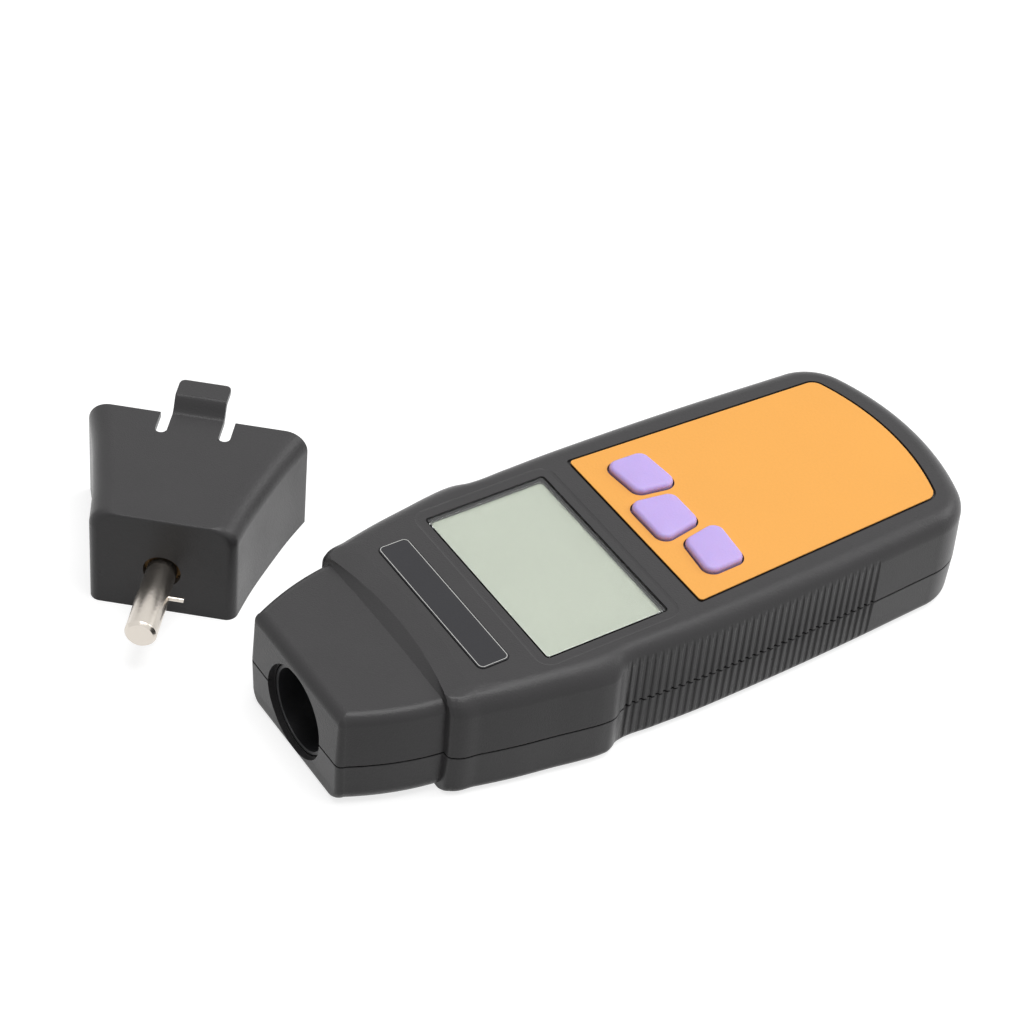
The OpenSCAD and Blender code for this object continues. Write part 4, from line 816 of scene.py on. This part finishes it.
def adapter_shell():
    corner = [ADAPTER_CORNER_R * (1 - math.cos(a)) for a in np.linspace(0, math.pi / 2, 9)]
    fillet = [ADAPTER_FILLET * (1 - math.cos(a)) for a in np.linspace(0, math.pi / 2, 5)]
    body = list(np.linspace(ADAPTER_CORNER_R + 1, ADAPTER_L - RIM_R, 26))
    body += [ADAPTER_L - RIM_R / 2, ADAPTER_L]
    rings = []
    for y in sorted(set(corner + fillet + body), reverse=True):
        end = quarter(ADAPTER_L - y, RIM_R)
        half = adapter_half(y) - quarter(y, ADAPTER_CORNER_R) - end
        top = ADAPTER_TOP - quarter(y, ADAPTER_FILLET) - end
        rings.append(arch(y, half, -AXIS_Z, top, ADAPTER_EDGE_R))
    shell = loft("adapter_case", rings)
    under, inner_r = ADAPTER_TOP - ADAPTER_WALL, ADAPTER_EDGE_R - ADAPTER_WALL
    inner = [arch(y, adapter_half(y) - ADAPTER_WALL, -AXIS_Z - CUT, under, inner_r)
             for y in np.linspace(ADAPTER_L + CUT, END_WALL, 24)]
    boolean(shell, loft("inside", inner))
    boolean(shell, tube("hole", HOLE_D, -CUT, END_WALL + CUT, z=0))
    root, low_z, high_z = ADAPTER_L - TAB_SLOT_L, under - CUT, ADAPTER_TOP + CUT
    half, leaf = TAB_W / 2, TAB_W / 2 + 0.05
    slot_x, slot_y = half + TAB_SLOT_W / 2, root + TAB_SLOT_W / 2
    wide = half + TAB_SLOT_W
    slots = block("slots", -wide, wide, slot_y, ADAPTER_L + CUT, low_z, high_z)
    opening = block("leaf", -leaf, leaf, root, root + TAB_SLOT_L, low_z - 0.1, high_z + 0.1)
    boolean(slots, opening, "UNION")
    for side in (-1, 1):
        end = pillar("slot_end", TAB_SLOT_W, side * slot_x, slot_y, low_z - 0.2, high_z + 0.2)
        boolean(slots, end, "UNION")
    boolean(shell, slots)
    boss_r, bush_r, c = (BUSH_OD + 2 * ADAPTER_WALL) / 2, BUSH_OD / 2, RIM_R
    boss_y = END_WALL - 0.05
    boss = lathe("boss", [(bush_r, boss_y), (boss_r, boss_y), (boss_r, BOSS_L - c),
                          (boss_r - c, BOSS_L), (bush_r, BOSS_L)])
    return placed(smooth(joined("adapter_case", [shell, boss])), *ADAPTER_PLACE)


def tab():
    """Leaf that steps up beyond the open end to a flat lip."""
    under = ADAPTER_TOP - ADAPTER_WALL
    y0, y1, y2 = ADAPTER_L - TAB_SLOT_L, ADAPTER_L, ADAPTER_L + TAB_REACH
    ys = np.concatenate([[y0], np.linspace(y1 - 0.8, y1 + 4.6, 22), [y2 - 0.5]])
    thick = ADAPTER_WALL + (TAB_LIP_T - ADAPTER_WALL) * smoothstep((ys - y1) / 4)
    low = under + TAB_STEP * smoothstep((ys - y1 - 0.2) / TAB_BEND)
    high = under + TAB_STEP * smoothstep((ys - y1 + 0.4) / TAB_BEND) + thick
    low_line, high_line = list(zip(ys, low)), list(zip(ys, high))
    lip = arc(y2 - TAB_LIP_R, low_line[-1][1] + TAB_LIP_R, TAB_LIP_R, -math.pi / 2, math.pi / 2, 8)
    points = np.array(low_line[:-1] + [(p[0], p[1]) for p in lip] + high_line[:-1][::-1])
    rings = []
    corner_r, lip_start = TAB_CORNER_R, y2 - TAB_CORNER_L
    for x in np.concatenate([np.linspace(0, corner_r, 7), TAB_W - np.linspace(corner_r, 0, 7)]):
        from_edge = min(x, TAB_W - x)
        back = corner_r - math.sqrt(corner_r ** 2 - max(0.0, corner_r - from_edge) ** 2)
        shifted = points.copy()
        shifted[:, 0] -= back * np.clip((points[:, 0] - lip_start) / 2, 0, 1)
        rings.append(np.column_stack([np.full(len(points), x - TAB_W / 2), shifted]))
    piece = soften(loft("snap_tab", rings), TAB_SOFT)
    return placed(smooth(piece, KEY_CREASE), *ADAPTER_PLACE)


def spindle():
    """Tip, journals with a collar between the bushes, the disc's seat and the clip groove."""
    r, c, dot = SPINDLE_R, TIP_CHAMFER, AXIS_DOT
    profile = [
        (dot, TIP_Y), (r - c, TIP_Y), (r - c * 0.85, TIP_Y + c * 0.04), (r - 0.06, TIP_Y + c * 0.92),
        (r, TIP_Y + c * 1.15), (r, JOURNAL_FROM), (JOURNAL_R, JOURNAL_FROM),
        (JOURNAL_R, COLLAR_Y[0]), (COLLAR_R, COLLAR_Y[0]), (COLLAR_R, COLLAR_Y[1]),
        (JOURNAL_R, COLLAR_Y[1]), (JOURNAL_R, DISC_SEAT_Y), (TAIL_R, DISC_SEAT_Y),
        (TAIL_R, CLIP_Y[0]), (CLIP_R, CLIP_Y[0]), (CLIP_R, CLIP_Y[1]), (TAIL_R, CLIP_Y[1]),
        (TAIL_R, SPINDLE_END_Y - 0.3), (TAIL_R - 0.3, SPINDLE_END_Y), (dot, SPINDLE_END_Y),
    ]
    return placed(smooth(lathe("steel_spindle", profile)), *ADAPTER_PLACE)


def pin():
    """Cross pin through the spindle, rounded at its free end."""
    profile = [(AXIS_DOT, PIN_FROM), (PIN_R, PIN_FROM), (PIN_R, PIN_TO - 0.2),
               (PIN_R - 0.08, PIN_TO - 0.05), (PIN_R - 0.25, PIN_TO), (AXIS_DOT, PIN_TO)]
    piece = lathe("steel_pin", profile, "X", 48)
    piece.data.transform(Matrix.Translation((0, PIN_Y * MM, 0)))
    return placed(smooth(piece), *ADAPTER_PLACE)


# Materials
def material(name, colour, rough, metal=0.0, grain=3000.0, bump=0.05, mottle=0.05, spread=80.0,
             rough_spread=0.06, stretch=(1, 1, 1), coat=0.0, specular=0.5, subsurface=0.0):
    """Surface with slow colour variation, a fine grain in its height and uneven gloss."""
    m = bpy.data.materials.new(name)
    m.use_nodes = True
    nodes, links = m.node_tree.nodes, m.node_tree.links
    shader = nodes["Principled BSDF"]
    place = nodes.new("ShaderNodeTexCoord")
    mapping = nodes.new("ShaderNodeMapping")
    mapping.inputs["Scale"].default_value = stretch
    links.new(place.outputs["Object"], mapping.inputs["Vector"])

    def noise(scale, detail):
        n = nodes.new("ShaderNodeTexNoise")
        n.inputs["Scale"].default_value = scale
        n.inputs["Detail"].default_value = detail
        links.new(mapping.outputs["Vector"], n.inputs["Vector"])
        return n.outputs["Fac"]

    slow, fine = noise(spread, 4), noise(grain, 2)
    tint = nodes.new("ShaderNodeMix")
    tint.data_type = "RGBA"
    tint.inputs["A"].default_value = (*[c * (1 - mottle) for c in colour], 1)
    tint.inputs["B"].default_value = (*[min(1, c * (1 + mottle)) for c in colour], 1)
    links.new(slow, tint.inputs["Factor"])
    speck = nodes.new("ShaderNodeMix")
    speck.data_type = "RGBA"
    speck.blend_type = "MULTIPLY"
    speck.inputs["Factor"].default_value = min(1.0, mottle * 3)
    links.new(tint.outputs["Result"], speck.inputs["A"])
    lighten = nodes.new("ShaderNodeMapRange")
    lighten.inputs["From Min"].default_value = 0.3
    lighten.inputs["From Max"].default_value = 0.7
    lighten.inputs["To Min"].default_value = 0.8
    lighten.inputs["To Max"].default_value = 1.15
    links.new(fine, lighten.inputs["Value"])
    links.new(lighten.outputs["Result"], speck.inputs["B"])
    links.new(speck.outputs["Result"], shader.inputs["Base Color"])
    gloss = nodes.new("ShaderNodeMapRange")
    gloss.inputs["To Min"].default_value = max(0.02, rough - rough_spread)
    gloss.inputs["To Max"].default_value = rough + rough_spread
    links.new(slow, gloss.inputs["Value"])
    links.new(gloss.outputs["Result"], shader.inputs["Roughness"])
    height = nodes.new("ShaderNodeBump")
    height.inputs["Strength"].default_value = bump
    height.inputs["Distance"].default_value = 0.0004
    links.new(fine, height.inputs["Height"])
    links.new(height.outputs["Normal"], shader.inputs["Normal"])
    shader.inputs["Metallic"].default_value = metal
    shader.inputs["Specular IOR Level"].default_value = specular
    shader.inputs["Coat Weight"].default_value = coat
    shader.inputs["Subsurface Weight"].default_value = subsurface
    shader.inputs["Subsurface Scale"].default_value = 0.001
    return m


def clear(name, tint, rough, ior):
    """Clear plastic or glass that lets the lamps' light through, with a faint unevenness."""
    m = material(name, tint, rough, grain=400, bump=0.01, mottle=0.01, rough_spread=0.005)
    nodes, links = m.node_tree.nodes, m.node_tree.links
    shader = nodes["Principled BSDF"]
    shader.inputs["Transmission Weight"].default_value = 1
    shader.inputs["IOR"].default_value = ior
    rays = nodes.new("ShaderNodeLightPath")
    through = nodes.new("ShaderNodeBsdfTransparent")
    through.inputs["Color"].default_value = (*[c ** 0.5 for c in tint], 1)
    mix = nodes.new("ShaderNodeMixShader")
    links.new(rays.outputs["Is Shadow Ray"], mix.inputs["Fac"])
    links.new(shader.outputs["BSDF"], mix.inputs[1])
    links.new(through.outputs["BSDF"], mix.inputs[2])
    links.new(mix.outputs["Shader"], nodes["Material Output"].inputs["Surface"])
    return m


MATERIALS = {
    "shell": material("charcoal_abs", (0.058, 0.0565, 0.058), 0.3, grain=2600, bump=0.2, specular=0.22),
    "plate": material("plate_abs", (0.034, 0.034, 0.038), 0.33, grain=1800, bump=0.08, mottle=0.04,
                      specular=0.25),
    "label": material("orange_film", (0.95, 0.44, 0.085), 0.45, grain=1500, bump=0.1, mottle=0.025,
                      spread=40),
    "window": clear("clear_acrylic", (0.96, 0.98, 0.97), 0.03, 1.46),
    "white_plastic": material("white_abs", (0.75, 0.75, 0.72), 0.5, bump=0.1),
    "display": material("crystal_glass", (0.25, 0.264, 0.22), 0.35, grain=900, bump=0.02, mottle=0.03,
                        spread=30),
    "elastomer": material("pink_elastomer", (0.62, 0.4, 0.37), 0.6, stretch=(1, 20, 1), bump=0.2),
    "silicone": material("grey_silicone", (0.55, 0.55, 0.55), 0.55, bump=0.15),
    "key": material("lilac_rubber", (0.6, 0.455, 0.9), 0.5, grain=2200, bump=0.12, mottle=0.03,
                    subsurface=0.15),
    "steel": material("bright_steel", (0.66, 0.61, 0.55), 0.24, metal=1, grain=1200, mottle=0.02),
    "spring_steel": material("spring_steel", (0.66, 0.67, 0.68), 0.3, metal=1, bump=0.06),
    "board": material("green_laminate", (0.03, 0.15, 0.06), 0.4, grain=1400, bump=0.12, mottle=0.12),
    "chip": material("chip_epoxy", (0.02, 0.02, 0.02), 0.6, bump=0.2),
    "can": material("tin_can", (0.6, 0.6, 0.6), 0.28, metal=1),
    "capacitor": material("sleeve", (0.02, 0.03, 0.07), 0.35),
    "black_plastic": material("black_plastic", (0.018, 0.018, 0.02), 0.38, grain=2600, bump=0.1),
    "lens": clear("lens_glass", (0.9, 0.94, 0.98), 0.01, 1.5),
    "brass": material("brass", (0.62, 0.42, 0.15), 0.3, metal=1, bump=0.06),
    "eye": material("sensor_epoxy", (0.04, 0.04, 0.06), 0.12, bump=0.02, coat=0.5),
    "ribbon": material("ribbon", (0.62, 0.62, 0.58), 0.45, stretch=(12, 1, 1), bump=0.15),
    "cell": material("cell_sleeve", (0.2, 0.24, 0.29), 0.3, grain=700, bump=0.04, coat=0.3),
    # Bronze bushes: real bronze, made far darker than bronze is, as painted shade for the hole in the
    # adapter's end where they show.
    "bronze": material("sintered_bronze", (0.16, 0.1, 0.045), 0.55, metal=1, grain=3500, bump=0.3,
                       mottle=0.1),
    "disc": material("reflecting_disc", (0.72, 0.72, 0.7), 0.35),
    "ring": material("blued_spring", (0.12, 0.12, 0.13), 0.35, metal=1, bump=0.08),
}


def place_piece(piece, body, slot, *nodes, shade=None):
    """Gives a finished piece its material and its body, and hides the CAD nodes it stands for."""
    if shade:
        smooth(piece, shade)
    piece.data.materials.clear()
    piece.data.materials.append(MATERIALS[slot])
    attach(piece, body)
    if nodes:
        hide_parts(*nodes)


place_piece(top_shell(), "housing", "shell", "top_shell", shade=CREASE)
place_piece(bottom_shell(), "housing", "shell", "bottom_shell", shade=CREASE)
place_piece(battery_cover(), "cover", "shell", "battery_cover", shade=CREASE)
place_piece(plate(), "housing", "plate", "name_plate", shade=SOFT_CREASE)
place_piece(plate_line(), "housing", "white_plastic")
place_piece(keypad_label(), "housing", "label", "keypad_label", shade=SOFT_CREASE)
place_piece(window(), "housing", "window", "display_window", shade=SOFT_CREASE)
place_piece(sensor_tube(), "housing", "black_plastic", "sensor_tube", shade=CREASE)
place_piece(lens(), "housing", "lens", "objective_lens", shade=CREASE)
place_piece(lens_ring(), "housing", "black_plastic", "lens_ring", shade=CREASE)
place_piece(adapter_shell(), "adapter", "shell", "adapter_shell")
place_piece(tab(), "tab", "shell", "adapter_tab")
place_piece(spindle(), "spindle", "steel", "spindle")
place_piece(pin(), "spindle", "steel", "cross_pin")
for side, corners in key_corners().items():
    place_piece(key("button_" + side, corners), side + "_key", "key", "key_" + side, shade=KEY_CREASE)

# CAD nodes that stay take the material of their slot
for row in frame["record"]["subparts"]:
    mesh = frame["nodes"][row["node"]].data
    mesh.materials.clear()
    mesh.materials.append(MATERIALS[row["material_slot"]])

# Camera at the photograph's angle
CAMERA_TURN = math.radians(53.55)
CAMERA_ELEVATION = math.radians(41.50)
CAMERA_ROLL = math.radians(5.72)
CAMERA_PLACE = Vector((427.07, -351.90, 524.93))
right = Vector((math.cos(CAMERA_TURN), math.sin(CAMERA_TURN), 0))
level_share = math.cos(CAMERA_ELEVATION)
back = Vector((right.y * level_share, -right.x * level_share, math.sin(CAMERA_ELEVATION)))
up = back.cross(right)
camera_data = bpy.data.cameras.new("camera")
camera_data.lens = 108.07
camera_data.sensor_width = 36
camera_data.clip_start = 0.01
camera_data.clip_end = 20
camera = bpy.data.objects.new("camera", camera_data)
bpy.context.scene.collection.objects.link(camera)
turned_right = right * math.cos(CAMERA_ROLL) + up * math.sin(CAMERA_ROLL)
turned_up = up * math.cos(CAMERA_ROLL) - right * math.sin(CAMERA_ROLL)
pose = Matrix((turned_right, turned_up, back)).transposed().to_4x4()
pose.translation = CAMERA_PLACE * MM
camera.matrix_world = pose
bpy.context.scene.camera = camera


def lamp(name, place, size, power):
    """Square lamp at a place in metres that faces the origin."""
    data = bpy.data.lights.new(name, "AREA")
    data.shape = "SQUARE"
    data.size = size
    data.energy = power
    obj = bpy.data.objects.new(name, data)
    obj.location = place
    obj.rotation_euler = (-Vector(place)).to_track_quat("-Z", "Y").to_euler()
    bpy.context.scene.collection.objects.link(obj)


lamp("tail_lamp", (0.35, 1.25, 0.85), 0.8, 6.5)
lamp("top_lamp", (0.1, 0.15, 1.5), 1.1, 18.5)

# White surround and a pale floor that keeps the shadow
WORLD_LOW = 0.12
FLOOR_HALF = 900
FLOOR_Z = -0.02
FLOOR_GREY = 0.45
FLOOR_LIFT = 0.78


def white_rays(nodes, links):
    """1 for the rays that show the surround: the camera's own and those of gloss and glass."""
    rays = nodes.new("ShaderNodeLightPath")
    seen = rays.outputs["Is Camera Ray"]
    for other in ("Is Transmission Ray", "Is Glossy Ray"):
        either = nodes.new("ShaderNodeMath")
        either.operation = "MAXIMUM"
        links.new(seen, either.inputs[0])
        links.new(rays.outputs[other], either.inputs[1])
        seen = either.outputs["Value"]
    return seen


world = bpy.data.worlds.new("studio")
bpy.context.scene.world = world
world.use_nodes = True
nodes, links = world.node_tree.nodes, world.node_tree.links
background = nodes["Background"]
background.inputs["Color"].default_value = (1, 1, 1, 1)
strength = nodes.new("ShaderNodeMapRange")
strength.inputs["To Min"].default_value = WORLD_LOW
strength.inputs["To Max"].default_value = 1
links.new(white_rays(nodes, links), strength.inputs["Value"])
links.new(strength.outputs["Result"], background.inputs["Strength"])

floor = new_object("floor", [(x * FLOOR_HALF, y * FLOOR_HALF, FLOOR_Z)
                             for x, y in ((-1, -1), (1, -1), (1, 1), (-1, 1))], [(0, 1, 2, 3)])
floor_material = material("pale_floor", (FLOOR_GREY,) * 3, 0.9, grain=300, bump=0.02, mottle=0.005,
                          specular=0.0)
nodes, links = floor_material.node_tree.nodes, floor_material.node_tree.links
glow = nodes.new("ShaderNodeEmission")
lift = nodes.new("ShaderNodeMath")
lift.operation = "MULTIPLY"
lift.inputs[1].default_value = FLOOR_LIFT
links.new(white_rays(nodes, links), lift.inputs[0])
links.new(lift.outputs["Value"], glow.inputs["Strength"])
total = nodes.new("ShaderNodeAddShader")
links.new(nodes["Principled BSDF"].outputs["BSDF"], total.inputs[0])
links.new(glow.outputs["Emission"], total.inputs[1])
links.new(total.outputs["Shader"], nodes["Material Output"].inputs["Surface"])
floor.data.materials.append(floor_material)

bpy.context.scene.view_settings.view_transform = "Standard"
